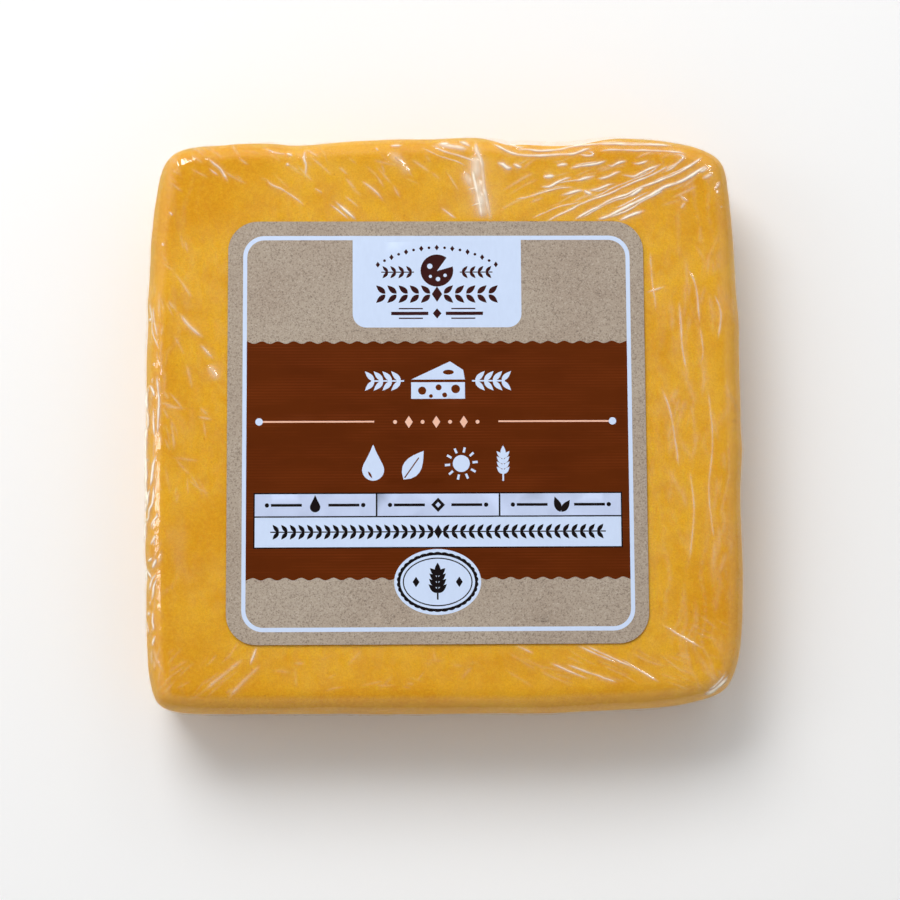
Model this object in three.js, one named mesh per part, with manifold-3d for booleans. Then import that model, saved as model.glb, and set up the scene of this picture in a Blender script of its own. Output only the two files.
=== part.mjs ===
// A square slab of cheese, wrapped in clear film, with a square paper label
// on its top face. Millimetres, +Z up. The slab lies flat with the label up.
// Origin: centre of the bounding box in X and Y, underside at Z = 0.
import * as THREE from 'three';
import Module from 'manifold-3d';
import { mergeVertices } from 'three/addons/utils/BufferGeometryUtils.js';

// ---- driving dimensions (mm) ------------------------------------------------
const PACK_HEIGHT = 19.6;      // over the film, without the label
const TOP_ROUND = 4.2;         // how far the top edge rounds in
const BOTTOM_ROUND = 3.4;      // how far the bottom edge rounds in
const WALL_BULGE = 0.35;       // the sides lean in by this much above and below
const NORMAL_SPREAD = 3;       // smooths the direction in which rings are inset
const FILM_THICKNESS = 0.12;
const FILM_GAP = 0.13;         // between the film and the cheese
const LAP_GAP = 0.08;          // between the two flaps of the underside lap
const LAP_LOW_EDGE = -36;      // where the outer flap ends
const LAP_HIGH_EDGE = 8;       // where the inner flap ends
const LAP_INSET = 4.2;         // the flaps join this far in from the outline
const LABEL_WIDTH = 76.2;
const LABEL_DEPTH = 77.6;
const LABEL_CORNER = 5.5;
const LABEL_THICKNESS = 0.15;
const LABEL_BASE = 19.7;       // its glue line leaves 0.1 over the film
const LABEL_CENTRE = [-1.45, -2.25];

// Widest outline of the slab, counter-clockwise from the +X side.
const OUTLINE = [
  [54.92, -1.09], [54.96, 4.1], [54.84, 9.9], [54.91, 15.57], [54.74, 20.82],
  [54.38, 26.24], [54.25, 32.05], [53.98, 37.62], [53.63, 41.83], [53.26, 44.61],
  [52.98, 46.67], [52.4, 48.33], [51.44, 49.65], [50.1, 50.61], [48.46, 51.36],
  [46.45, 52.05], [43.73, 52.55], [39.93, 53.11], [35.43, 53.5], [31.11, 53.67],
  [26.92, 53.3], [22.77, 52.82], [18.74, 52.8], [14.91, 53.07], [11.8, 52.92],
  [8.34, 53.51], [4.18, 53.6], [-0.95, 53.39], [-6.6, 53.34], [-12.45, 53.23],
  [-18.39, 52.96], [-23.69, 52.54], [-28.27, 52.37], [-32.75, 52.69], [-37.52, 52.56],
  [-41.99, 52.21], [-45.05, 52.02], [-47.21, 51.76], [-48.92, 51.27], [-50.34, 50.51],
  [-51.45, 49.4], [-52.26, 47.96], [-52.84, 46.19], [-53.27, 43.9], [-53.7, 40.63],
  [-54.1, 35.83], [-54.43, 30.27], [-54.71, 24.87], [-54.92, 19.76], [-54.98, 14.31],
  [-55.03, 8.44], [-54.93, 2.45], [-55, -3.36], [-54.89, -9.11], [-54.89, -15.46],
  [-54.95, -21.08], [-54.85, -26.11], [-54.63, -31.27], [-54.51, -37.07], [-54.23, -42.03],
  [-54.02, -45.28], [-53.66, -47.5], [-53.25, -49.23], [-52.7, -50.69], [-51.82, -51.85],
  [-50.54, -52.59], [-48.99, -53.03], [-47.08, -53.29], [-44.48, -53.4], [-40.25, -53.47],
  [-34, -53.54], [-27.38, -53.58], [-20.83, -53.54], [-14.32, -53.58], [-7.65, -53.57],
  [-0.9, -53.59], [5.79, -53.65], [12.38, -53.67], [18.55, -53.62], [24.71, -53.32],
  [31.01, -53.08], [36.63, -52.83], [41.11, -52.43], [44.43, -51.86], [46.88, -51.27],
  [48.82, -50.65], [50.41, -49.83], [51.64, -48.64], [52.49, -47.1], [53.18, -45.25],
  [53.71, -42.91], [54.14, -39.73], [54.48, -35.26], [54.66, -29.57], [54.76, -23.58],
  [54.67, -17.51], [54.71, -11.77], [55.03, -6.47],
];

const wasm = await Module();
wasm.setup();
const { Manifold, Mesh } = wasm;

// Moves each outline point inward. The direction is the outline's normal,
// averaged over a few millimetres so that rings never cross at a corner.
function inset(points, distance) {
  const n = points.length;
  const edges = [];
  let total = 0;
  points.forEach(([x, y], i) => {
    const [bx, by] = points[(i + 1) % n];
    const length = Math.hypot(bx - x, by - y);
    edges.push({ x: bx - x, y: by - y, start: total, middle: total + length / 2 });
    total += length;
  });
  return points.map(([x, y], i) => {
    let tx = 0;
    let ty = 0;
    for (const edge of edges) {
      const gap = Math.abs(edge.middle - edges[i].start);
      const along = Math.min(gap, total - gap);
      const weight = Math.exp(-0.5 * (along / NORMAL_SPREAD) ** 2);
      tx += edge.x * weight;
      ty += edge.y * weight;
    }
    const size = Math.hypot(tx, ty);
    return [x - (ty / size) * distance, y + (tx / size) * distance];
  });
}

// Section of the slab: [inset from the widest outline, height] from the
// underside to the top, for a body whose skin lies `skin` inside the film.
function section(bottom, top, skin) {
  const rows = [];
  const steps = 5;
  for (let i = 0; i <= steps; i += 1) {
    const a = (i / steps) * (Math.PI / 2);
    rows.push([
      skin + WALL_BULGE + BOTTOM_ROUND * (1 - Math.sin(a)),
      bottom + BOTTOM_ROUND * (1 - Math.cos(a)),
    ]);
  }
  rows.push([skin, (bottom + top) / 2 - 0.6]);
  for (let i = 0; i <= steps; i += 1) {
    const a = (i / steps) * (Math.PI / 2);
    rows.push([
      skin + WALL_BULGE + TOP_ROUND * (1 - Math.cos(a)),
      top - TOP_ROUND * (1 - Math.sin(a)),
    ]);
  }
  return rows;
}

// Closed body from stacked rings, each with the same number of points.
function ringSolid(rings) {
  const n = rings[0].points.length;
  const position = [];
  const index = [];
  for (const ring of rings) {
    for (const [x, y] of ring.points) position.push(x, y, ring.z);
  }
  for (let r = 0; r + 1 < rings.length; r += 1) {
    for (let i = 0; i < n; i += 1) {
      const j = (i + 1) % n;
      const a = r * n + i;
      const b = r * n + j;
      index.push(a, b, b + n, a, b + n, a + n);
    }
  }
  const low = position.length / 3;
  position.push(0, 0, rings[0].z);
  const high = low + 1;
  position.push(0, 0, rings[rings.length - 1].z);
  const last = (rings.length - 1) * n;
  for (let i = 0; i < n; i += 1) {
    const j = (i + 1) % n;
    index.push(low, j, i);
    index.push(high, last + i, last + j);
  }
  const geometry = new THREE.BufferGeometry();
  geometry.setAttribute('position', new THREE.Float32BufferAttribute(position, 3));
  geometry.setIndex(index);
  return geometry;
}

function slab(bottom, top, skin) {
  return ringSolid(section(bottom, top, skin).map(([distance, z]) => (
    { z, points: inset(OUTLINE, distance) })));
}

function toManifold(geometry) {
  return new Manifold(new Mesh({
    numProp: 3,
    vertProperties: new Float32Array(geometry.getAttribute('position').array),
    triVerts: new Uint32Array(geometry.getIndex().array),
  }));
}

function toGeometry(solid) {
  const mesh = solid.getMesh();
  const position = [];
  for (let i = 0; i < mesh.numVert; i += 1) {
    for (let k = 0; k < 3; k += 1) position.push(mesh.vertProperties[i * mesh.numProp + k]);
  }
  const geometry = new THREE.BufferGeometry();
  geometry.setAttribute('position', new THREE.Float32BufferAttribute(position, 3));
  geometry.setIndex(Array.from(mesh.triVerts));
  return geometry;
}

function boxGeometry(min, max) {
  const box = new THREE.BoxGeometry(max[0] - min[0], max[1] - min[1], max[2] - min[2]);
  box.deleteAttribute('normal');
  box.deleteAttribute('uv');
  const merged = mergeVertices(box);
  merged.translate((min[0] + max[0]) / 2, (min[1] + max[1]) / 2, (min[2] + max[2]) / 2);
  return merged;
}

// ---- cheese -----------------------------------------------------------------
// The underside is higher than a plain wrap needs, because the film's two flaps
// pass under it.
const SKIN = FILM_THICKNESS + FILM_GAP;
const LAP_STACK = FILM_THICKNESS + LAP_GAP + FILM_THICKNESS;
const CHEESE_BOTTOM = LAP_STACK + FILM_GAP;
const CHEESE_TOP = PACK_HEIGHT - SKIN;
const cheese = slab(CHEESE_BOTTOM, CHEESE_TOP, SKIN);

// ---- film -------------------------------------------------------------------
// One sheet drawn round the slab. Its ends lap on the underside: the outer flap
// lies on the table, and the inner flap passes over it with a thin gap between.
const outer = toManifold(slab(0, PACK_HEIGHT, 0));
const inner = toManifold(slab(LAP_STACK, PACK_HEIGHT - FILM_THICKNESS, FILM_THICKNESS));
const WIDE = 80;
const wall = outer.subtract(inner);
const lowerSpace = toManifold(boxGeometry(
  [-WIDE, -WIDE, FILM_THICKNESS], [WIDE, WIDE, FILM_THICKNESS + LAP_GAP]));
const flatPlan = toManifold(ringSolid([-1, 1].map((z) => (
  { z, points: inset(OUTLINE, LAP_INSET) }))));
const belowFlap = toManifold(boxGeometry(
  [-WIDE, -WIDE, -1], [WIDE, LAP_LOW_EDGE, FILM_THICKNESS + LAP_GAP]));
const aboveFlap = toManifold(boxGeometry(
  [-WIDE, LAP_HIGH_EDGE, FILM_THICKNESS], [WIDE, WIDE, LAP_STACK]));
const film = wall
  .subtract(lowerSpace.intersect(flatPlan))
  .subtract(aboveFlap.intersect(flatPlan))
  .subtract(belowFlap);

// ---- label ------------------------------------------------------------------
const labelShape = new THREE.Shape();
{
  const w = LABEL_WIDTH / 2;
  const d = LABEL_DEPTH / 2;
  const r = LABEL_CORNER;
  labelShape.moveTo(-w + r, -d);
  labelShape.lineTo(w - r, -d);
  labelShape.absarc(w - r, -d + r, r, -Math.PI / 2, 0, false);
  labelShape.lineTo(w, d - r);
  labelShape.absarc(w - r, d - r, r, 0, Math.PI / 2, false);
  labelShape.lineTo(-w + r, d);
  labelShape.absarc(-w + r, d - r, r, Math.PI / 2, Math.PI, false);
  labelShape.lineTo(-w, -d + r);
  labelShape.absarc(-w + r, -d + r, r, Math.PI, 1.5 * Math.PI, false);
}
const label = new THREE.ExtrudeGeometry(labelShape, {
  depth: LABEL_THICKNESS, bevelEnabled: false, curveSegments: 8,
});
label.translate(LABEL_CENTRE[0], LABEL_CENTRE[1], LABEL_BASE);

// ---- assembly ---------------------------------------------------------------
function piece(name, geometry, colour, roughness, extra = {}) {
  const material = new THREE.MeshStandardMaterial({
    color: colour, roughness, metalness: 0, ...extra,
  });
  const mesh = new THREE.Mesh(geometry, material);
  mesh.name = name;
  return mesh;
}

const part = new THREE.Group();
part.name = 'wrapped_cheese_slab';
part.add(piece('cheese_block', cheese, 0xe2a235, 0.55));
part.add(piece('film_wrap', toGeometry(film), 0xf2efe2, 0.12));
part.add(piece('label', label, 0xaf9e8c, 0.75));

export default part;
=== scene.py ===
"""A square slab of cheese in clear film, with a printed paper label on top.

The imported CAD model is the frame. The film, the cheese and the label are
modelled here in detail and stand for their CAD nodes. Millimetres are used
throughout and turned into metres when a mesh is made.
"""

import bpy
import math
import numpy as np
from mathutils import Matrix, Vector
from mathutils.bvhtree import BVHTree
from mathutils.geometry import delaunay_2d_cdt


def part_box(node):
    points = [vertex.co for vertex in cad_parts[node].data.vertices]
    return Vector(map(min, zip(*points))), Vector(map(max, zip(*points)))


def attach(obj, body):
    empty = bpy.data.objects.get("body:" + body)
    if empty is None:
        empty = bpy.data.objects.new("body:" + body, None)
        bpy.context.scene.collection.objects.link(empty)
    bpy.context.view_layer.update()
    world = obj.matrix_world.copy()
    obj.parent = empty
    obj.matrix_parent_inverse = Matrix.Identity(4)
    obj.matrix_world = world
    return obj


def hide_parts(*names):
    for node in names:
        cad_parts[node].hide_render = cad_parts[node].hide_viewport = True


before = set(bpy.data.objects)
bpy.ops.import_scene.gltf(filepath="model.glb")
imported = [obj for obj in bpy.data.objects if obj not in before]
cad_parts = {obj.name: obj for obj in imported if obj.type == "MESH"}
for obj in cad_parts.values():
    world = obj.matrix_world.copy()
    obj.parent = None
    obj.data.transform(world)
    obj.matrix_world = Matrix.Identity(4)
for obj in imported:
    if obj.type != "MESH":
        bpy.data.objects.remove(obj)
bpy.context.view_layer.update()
MM = 0.001


LABEL_LOW, LABEL_HIGH = [[v / MM for v in c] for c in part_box("label")]
FILM_LOW, FILM_HIGH = [[v / MM for v in c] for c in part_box("film_wrap")]
LABEL_X = (LABEL_LOW[0] + LABEL_HIGH[0]) / 2
LABEL_Y = (LABEL_LOW[1] + LABEL_HIGH[1]) / 2
LABEL_TOP = LABEL_HIGH[2]
LABEL_BASE = LABEL_LOW[2]
TOP = FILM_HIGH[2]

# ---------------------------------------------------------------- camera ----
# Almost straight above, leaning a little towards the label's lower edge.
CAM_BACK = Vector((-0.02010788, -0.12866332, 0.99148445))
CAM_RIGHT = Vector((0.99979245, -0.00583803, 0.01951878))
CAM_UP = Vector((0.00327697, 0.99167115, 0.12875400))
CAM_AT = Vector((-7.533, -59.910, 436.273)) * MM

cam_data = bpy.data.cameras.new("camera")
cam = bpy.data.objects.new("camera", cam_data)
bpy.context.scene.collection.objects.link(cam)
cam_data.sensor_fit = "HORIZONTAL"
cam_data.sensor_width = 36.0
cam_data.lens = 2311.9 / 900.0 * 36.0
cam_data.clip_start = 0.01
cam_data.clip_end = 20.0
cam.matrix_world = Matrix((
    (CAM_RIGHT.x, CAM_UP.x, CAM_BACK.x, CAM_AT.x),
    (CAM_RIGHT.y, CAM_UP.y, CAM_BACK.y, CAM_AT.y),
    (CAM_RIGHT.z, CAM_UP.z, CAM_BACK.z, CAM_AT.z),
    (0, 0, 0, 1)))
bpy.context.scene.camera = cam

# ------------------------------------------------------------- measures ----
# Widest outline of the wrapped slab, counter-clockwise from the +X side (mm).
OUTLINE = [
    (54.90, -1.09), (54.98, 1.33), (54.92, 4.32), (54.82, 7.57), (54.83, 10.82),
    (54.86, 14.31), (54.91, 17.06), (54.80, 19.81), (54.56, 22.55), (54.39, 25.54),
    (54.31, 28.78), (54.23, 32.03), (54.10, 35.28), (53.88, 38.52), (53.65, 41.51),
    (53.32, 43.73), (53.14, 45.47), (52.99, 46.46), (52.74, 47.42), (52.46, 48.11),
    (52.10, 48.76), (51.65, 49.36), (51.12, 49.88), (50.52, 50.32), (49.87, 50.67),
    (48.96, 51.09), (48.04, 51.49), (46.86, 51.89), (45.40, 52.22), (43.43, 52.54),
    (40.71, 52.95), (37.73, 53.28), (34.99, 53.47), (32.50, 53.63), (30.50, 53.60),
    (28.26, 53.43), (25.79, 53.08), (23.31, 52.80), (21.31, 52.70), (19.32, 52.69),
    (17.08, 52.91), (15.34, 53.01), (13.85, 53.03), (12.75, 52.73), (11.84, 52.85),
    (10.80, 53.25), (9.06, 53.40), (7.32, 53.56), (5.08, 53.59), (2.34, 53.50),
    (-1.16, 53.34), (-4.15, 53.25), (-7.14, 53.30), (-10.39, 53.26), (-13.89, 53.12),
    (-17.38, 52.97), (-20.62, 52.76), (-23.60, 52.50), (-26.09, 52.33), (-28.34, 52.33),
    (-30.58, 52.55), (-32.82, 52.65), (-35.57, 52.61), (-38.31, 52.46), (-41.30, 52.20),
    (-44.05, 52.04), (-45.79, 51.91), (-47.03, 51.74), (-48.00, 51.52), (-48.95, 51.20),
    (-49.62, 50.89), (-50.26, 50.50), (-50.65, 50.20), (-51.18, 49.67), (-51.62, 49.08),
    (-52.00, 48.43), (-52.39, 47.52), (-52.70, 46.57), (-52.93, 45.60), (-53.24, 43.87),
    (-53.55, 41.65), (-53.86, 38.92), (-54.06, 35.93), (-54.33, 32.94), (-54.40, 29.94),
    (-54.55, 26.95), (-54.76, 23.96), (-54.96, 21.72), (-54.86, 19.23), (-54.89, 16.48),
    (-54.98, 13.24), (-55.02, 9.99), (-54.97, 6.74), (-54.91, 3.24), (-54.91, -0.00),
    (-54.97, -3.00), (-54.89, -5.48), (-54.92, -8.10), (-54.86, -11.34), (-54.86, -14.83),
    (-54.93, -18.03), (-54.89, -20.61), (-54.97, -23.09), (-54.89, -25.34), (-54.60, -27.29),
    (-54.64, -29.76), (-54.58, -33.01), (-54.49, -36.50), (-54.35, -39.75), (-54.16, -42.74),
    (-54.02, -44.99), (-53.78, -46.72), (-53.53, -47.94), (-53.30, -48.91), (-53.01, -49.87),
    (-52.73, -50.56), (-52.49, -50.99), (-52.05, -51.58), (-51.68, -51.91), (-51.06, -52.31),
    (-50.61, -52.52), (-49.90, -52.77), (-48.93, -53.00), (-47.95, -53.15), (-46.70, -53.28),
    (-44.96, -53.35), (-41.96, -53.41), (-38.46, -53.45), (-34.71, -53.49), (-30.96, -53.53),
    (-27.21, -53.54), (-23.47, -53.54), (-19.97, -53.49), (-16.47, -53.52), (-12.72, -53.55),
    (-8.98, -53.55), (-5.23, -53.54), (-1.24, -53.55), (2.26, -53.56), (5.76, -53.61),
    (9.51, -53.63), (13.25, -53.64), (16.75, -53.61), (19.99, -53.54), (23.49, -53.34),
    (26.98, -53.19), (30.73, -53.06), (34.22, -52.94), (37.46, -52.74), (40.20, -52.49),
    (42.43, -52.21), (44.64, -51.77), (46.34, -51.37), (47.79, -50.98), (48.73, -50.65),
    (49.64, -50.24), (50.29, -49.87), (50.88, -49.42), (51.40, -48.89), (51.84, -48.29),
    (52.31, -47.41), (52.70, -46.50), (53.05, -45.56), (53.39, -44.36), (53.72, -42.64),
    (54.00, -40.66), (54.27, -38.18), (54.45, -35.44), (54.58, -31.94), (54.69, -28.70),
    (54.75, -25.45), (54.73, -22.20), (54.66, -18.70), (54.64, -15.20), (54.69, -11.96),
    (54.85, -8.97), (55.00, -6.48), (55.00, -3.73),
]

# Creases of the film on its top face: half width, height, clouding (its own whitening
# and a painted highlight on the crest), and the points that each one runs through (mm).
CREASES = [
    (0.17, 0.3, 0.85, [(-53.88, 6.68), (-54.16, 5.66), (-54.37, 3.97), (-54.14, 1.05), (-54.09, -0.80), (-54.43, -2.32), (-54.52, -4.35), (-54.57, -6.19), (-54.38, -7.48), (-54.22, -9.86), (-54.42, -11.70), (-54.31, -13.53), (-54.52, -15.91)]),
    (0.19, 0.32, 0.95, [(-53.88, 6.68), (-53.26, 5.50), (-52.83, 4.03)]),
    (0.18, 0.32, 0.9, [(-52.44, 8.34), (-52.32, 6.31), (-52.08, 3.55), (-52.14, 1.34), (-52.20, -1.96), (-52.28, -3.24)]),
    (0.17, 0.3, 0.85, [(-52.99, 2.55), (-53.02, -0.02), (-52.81, -2.41), (-52.36, -3.61)]),
    (0.2, 0.34, 0.95, [(-52.78, -5.90), (-52.42, -6.72), (-52.93, -8.28), (-53.18, -10.65), (-53.54, -12.73)]),
    (0.17, 0.3, 0.85, [(-53.08, -11.57), (-52.79, -12.85), (-53.04, -15.22), (-53.68, -16.38), (-53.84, -17.84), (-54.40, -18.65), (-54.56, -20.30), (-54.58, -22.12)]),
    (0.17, 0.3, 0.85, [(-53.36, -12.18), (-53.89, -13.64), (-54.17, -15.00), (-54.24, -16.28)]),
    (0.17, 0.3, 0.8, [(-53.61, -14.19), (-54.16, -15.36), (-54.33, -17.01)]),
    (0.17, 0.3, 0.85, [(-52.32, -16.57), (-52.13, -17.66), (-53.00, -18.86), (-53.28, -20.21)]),
    (0.15, 0.24, 0.7, [(-52.90, -20.31), (-52.56, -18.31), (-52.13, -17.29)]),
    (0.24, 0.3, 0.95, [(-52.18, -20.92), (-52.79, -21.94), (-53.34, -22.94)]),
    (0.15, 0.24, 0.7, [(-52.61, -21.76), (-52.51, -23.03)]),
    (0.22, 0.28, 0.9, [(-53.85, -25.85), (-53.31, -25.49), (-52.84, -25.21)]),
    (0.22, 0.28, 0.9, [(-52.05, -25.27), (-52.47, -26.11), (-53.00, -27.20)]),
    (0.17, 0.3, 0.85, [(-54.40, -26.85), (-53.83, -27.66), (-53.28, -28.39), (-52.98, -29.19)]),
    (0.17, 0.3, 0.85, [(-54.40, -26.85), (-54.11, -28.67), (-53.62, -30.01)]),
    (0.18, 0.3, 0.9, [(-51.75, -27.98), (-52.63, -28.64), (-53.17, -29.65), (-53.52, -31.28)]),
    (0.17, 0.3, 0.85, [(-51.84, -28.16), (-52.19, -29.24), (-52.61, -30.45), (-52.77, -31.89), (-53.23, -33.27)]),
    (0.24, 0.26, 0.9, [(-53.57, -34.71), (-53.47, -35.62)]),
    (0.16, 0.26, 0.75, [(-52.66, -34.42), (-52.76, -36.76), (-52.53, -37.83), (-53.26, -38.86)]),
    (0.16, 0.26, 0.7, [(-53.93, -36.64), (-53.71, -38.14), (-53.44, -38.86)]),
    (0.18, 0.3, 0.8, [(-52.25, -39.09), (-52.68, -40.35), (-52.85, -41.24)]),
    (0.16, 0.24, 0.5, [(-53.04, 10.68), (-53.13, 9.75)]),
    (0.16, 0.24, 0.5, [(-53.29, 7.90), (-53.37, 6.61)]),
    (0.15, 0.22, 0.5, [(-53.23, -32.73), (-53.40, -33.81)]),
    (0.16, 0.22, 0.5, [(-54.19, 22.39), (-53.50, 18.84), (-53.28, 16.06), (-51.90, 12.59)]),
    (0.18, 0.3, 0.8, [(-53.88, 19.03), (-53.78, 18.29)]),
    (0.16, 0.26, 0.6, [(-53.25, 21.45), (-53.13, 18.84), (-52.28, 14.63)]),
    (0.224, 0.34, 0.6875, [(13.07, 50.19), (15.43, 50.25), (17.50, 50.01), (19.86, 50.09), (21.64, 50.30), (23.42, 50.79), (25.19, 51.06), (27.56, 51.21), (31.11, 51.30), (35.25, 51.20), (39.69, 51.26), (42.80, 51.08)]),
    (0.1792, 0.2, 0.4375, [(27.56, 51.57), (31.12, 51.75), (35.26, 51.60), (39.99, 51.38), (42.80, 51.14)]),
    (0.2464, 0.38, 0.6875, [(8.66, 51.61), (10.42, 50.71), (12.48, 49.65), (14.54, 49.16), (17.49, 49.10), (21.03, 49.19), (23.99, 49.33), (25.17, 49.70), (26.36, 50.24), (27.99, 50.60)]),
    (0.2016, 0.28, 0.625, [(24.82, 49.39), (26.35, 49.03), (27.53, 49.09), (27.54, 49.64), (26.36, 49.82)]),
    (0.2016, 0.28, 0.5625, [(28.72, 49.85), (31.09, 50.12), (35.23, 49.99), (39.67, 49.93), (43.51, 49.68), (45.42, 49.14)]),
    (0.2464, 0.26, 0.5625, [(42.62, 49.44), (44.44, 48.87), (43.92, 47.96), (41.98, 46.75), (40.34, 45.94)]),
    (0.224, 0.34, 0.9375, [(23.07, 46.46), (25.14, 47.07), (27.51, 47.34), (28.99, 47.67), (30.47, 48.12)]),
    (0.224, 0.34, 0.9375, [(30.11, 47.39), (31.11, 47.03), (32.24, 47.60), (34.20, 48.12)]),
    (0.2016, 0.28, 0.75, [(34.75, 47.81), (35.63, 47.45), (36.82, 47.69), (38.22, 48.11)]),
    (0.1568, 0.2, 0.4375, [(23.37, 46.86), (25.74, 47.46), (28.10, 47.82), (29.73, 48.24)]),
    (0.224, 0.34, 0.9375, [(17.72, 43.12), (19.55, 43.18), (21.12, 44.05), (22.75, 44.71), (24.08, 44.80)]),
    (0.224, 0.34, 0.9375, [(23.99, 44.62), (24.66, 44.32), (26.29, 44.80), (28.48, 45.28)]),
    (0.224, 0.34, 0.9375, [(28.12, 44.80), (28.95, 44.68), (30.58, 45.16), (32.36, 45.94), (33.24, 45.82)]),
    (0.2016, 0.32, 0.75, [(32.65, 45.46), (35.15, 45.09), (36.49, 45.70), (38.28, 46.54), (40.87, 47.51)]),
    (0.1456, 0.18, 0.375, [(20.08, 43.24), (21.85, 43.90), (23.92, 44.26), (26.29, 44.44), (28.36, 44.80)]),
    (0.1456, 0.18, 0.375, [(33.38, 45.25), (35.15, 44.79), (36.93, 45.52), (39.01, 46.36)]),
    (0.2688, 0.26, 1, [(18.33, 44.90), (19.51, 45.11), (20.75, 45.11)]),
    (0.2464, 0.24, 0.875, [(20.86, 47.04), (21.90, 47.28), (23.14, 47.40)]),
    (0.18, 0.26, 0.5, [(12.83, 40.66), (15.34, 41.17), (17.71, 41.92), (19.78, 42.52), (21.84, 42.91), (24.56, 43.05)]),
    (0.13, 0.16, 0.25, [(15.34, 41.44), (18.30, 42.40), (20.96, 43.15), (23.32, 43.45)]),
    (0.2464, 0.3, 0.875, [(21.23, 41.34), (23.30, 41.94), (25.08, 42.39), (26.32, 42.21)]),
    (0.2912, 0.34, 1, [(25.82, 42.63), (26.37, 42.15), (27.43, 41.72)]),
    (0.224, 0.28, 0.75, [(26.32, 42.21), (28.62, 42.69), (30.46, 43.44), (32.24, 43.77)]),
    (0.1456, 0.16, 0.375, [(27.43, 42.03), (29.21, 42.45), (30.99, 43.11)]),
    (0.143, 0.18, 0.39, [(15.89, 36.99), (18.55, 38.19), (21.21, 39.38), (23.87, 39.92), (26.23, 40.58)]),
    (0.187, 0.26, 0.65, [(18.23, 36.08), (20.90, 37.58), (23.26, 38.72), (25.04, 39.68), (27.41, 40.58), (29.78, 41.36), (32.16, 42.50), (35.13, 43.83), (38.11, 45.09), (40.49, 46.30), (41.99, 47.35)]),
    (0.154, 0.18, 0.455, [(26.24, 40.64), (29.20, 41.78), (32.17, 43.23), (35.14, 44.43), (38.12, 45.76), (40.81, 47.66)]),
    (0.22, 0.32, 0.78, [(23.68, 36.62), (26.20, 38.18), (28.58, 39.38), (30.95, 40.70), (33.62, 41.60), (36.00, 42.92), (38.08, 43.58), (40.46, 44.49), (43.44, 45.81), (45.89, 47.32), (48.29, 49.01)]),
    (0.154, 0.2, 0.52, [(25.01, 36.98), (27.38, 38.32), (30.95, 40.22), (33.91, 41.18), (36.74, 42.62), (37.78, 43.22)]),
    (0.286, 0.36, 1, [(33.97, 41.18), (35.10, 41.78), (36.35, 42.62), (37.34, 43.22)]),
    (0.154, 0.2, 0.52, [(38.09, 43.88), (41.06, 45.03), (44.04, 46.36), (46.73, 47.93), (48.24, 49.17)]),
    (0.264, 0.36, 1, [(27.95, 36.91), (29.78, 37.33), (32.10, 38.47), (34.47, 39.67), (36.85, 40.87), (39.24, 42.07), (41.03, 43.13), (43.40, 43.88), (45.85, 45.15), (47.65, 46.41), (49.38, 47.26)]),
    (0.176, 0.24, 0.65, [(29.13, 37.09), (31.79, 37.87), (34.46, 39.01), (36.40, 40.21), (38.63, 41.41), (41.17, 42.73)]),
    (0.154, 0.18, 0.52, [(30.92, 38.77), (33.59, 39.91), (35.97, 41.17), (38.65, 42.50)]),
    (0.242, 0.26, 0.91, [(31.95, 36.49), (34.44, 37.68), (37.56, 38.76)]),
    (0.3, 0.2, 0.6, [(46.99, 45.75), (48.18, 46.23), (49.26, 47.02)]),
    (0.34, 0.18, 0.5, [(47.73, 44.66), (49.04, 45.14), (50.06, 45.75)]),
    (0.26, 0.2, 0.6, [(50.11, 42.48), (50.78, 43.42), (51.28, 44.42)]),
    (0.22, 0.16, 0.45, [(50.45, 41.76), (51.06, 42.66)]),
    (0.26, 0.2, 0.5, [(43.54, 41.53), (44.41, 40.86), (45.28, 40.20)]),
    (0.24, 0.18, 0.45, [(44.87, 40.20), (44.21, 39.60), (43.78, 38.88)]),
    (0.16, 0.12, 0.3, [(51.29, 39.65), (51.58, 39.20)]),
    (0.34, 0.28, 0.95, [(9.80, 47.59), (10.98, 47.38), (11.80, 46.75), (13.04, 46.68)]),
    (0.28, 0.24, 0.8, [(12.75, 47.47), (13.49, 47.17), (14.63, 46.68)]),
    (0.24, 0.24, 0.7, [(11.73, 51.89), (12.49, 51.46), (13.96, 50.73), (15.44, 50.91)]),
    (0.2, 0.2, 0.5, [(13.37, 50.73), (14.99, 50.25), (16.17, 50.31)]),
    (0.2, 0.24, 0.5, [(45.52, 49.11), (43.63, 47.79), (42.13, 46.46), (40.07, 45.70)]),
    (1.3, 0.16, 0.5, [(6.05, 49.71), (6.21, 46.30), (6.73, 42.14), (7.43, 36.49)]),
    (0.9, 0.12, 0.4, [(3.44, 46.68), (4.90, 44.03), (5.98, 40.63)]),
    (0.14, 0.2, 0.8, [(4.87, 39.50), (6.35, 39.88), (8.01, 39.69)]),
    (0.14, 0.2, 0.8, [(4.15, 42.52), (6.00, 42.90), (7.48, 42.71)]),
    (0.5, 0.14, 0.55, [(-2.08, 51.23), (1.62, 50.85), (4.94, 50.09)]),
    (0.42, 0.55, 0.6, [(6.26, 52.37), (6.06, 50.47), (6.96, 48.00), (7.31, 45.16), (7.66, 42.33), (8.36, 38.37), (8.53, 36.49)]),
    (0.3, 0.28, 0.9, [(5.29, 47.06), (5.65, 44.79), (6.18, 42.14), (6.71, 39.31), (7.06, 36.86)]),
    (0.22, 0.3, 0.5, [(-2.45, 51.23), (-0.05, 49.91), (2.53, 49.14), (5.67, 48.01), (6.96, 48.00)]),
    (0.16, 0.18, 0.3, [(-4.30, 50.86), (-1.35, 49.15), (2.16, 48.01), (4.92, 46.68)]),
    (0.36, 0.24, 0.9, [(-0.97, 51.42), (1.44, 51.42)]),
    (0.36, 0.26, 0.9, [(2.92, 51.99), (4.21, 51.42), (5.13, 50.66)]),
    (0.24, 0.3, 0.5, [(-43.96, 48.99), (-42.48, 47.67), (-41.00, 46.34), (-39.51, 43.70)]),
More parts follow.
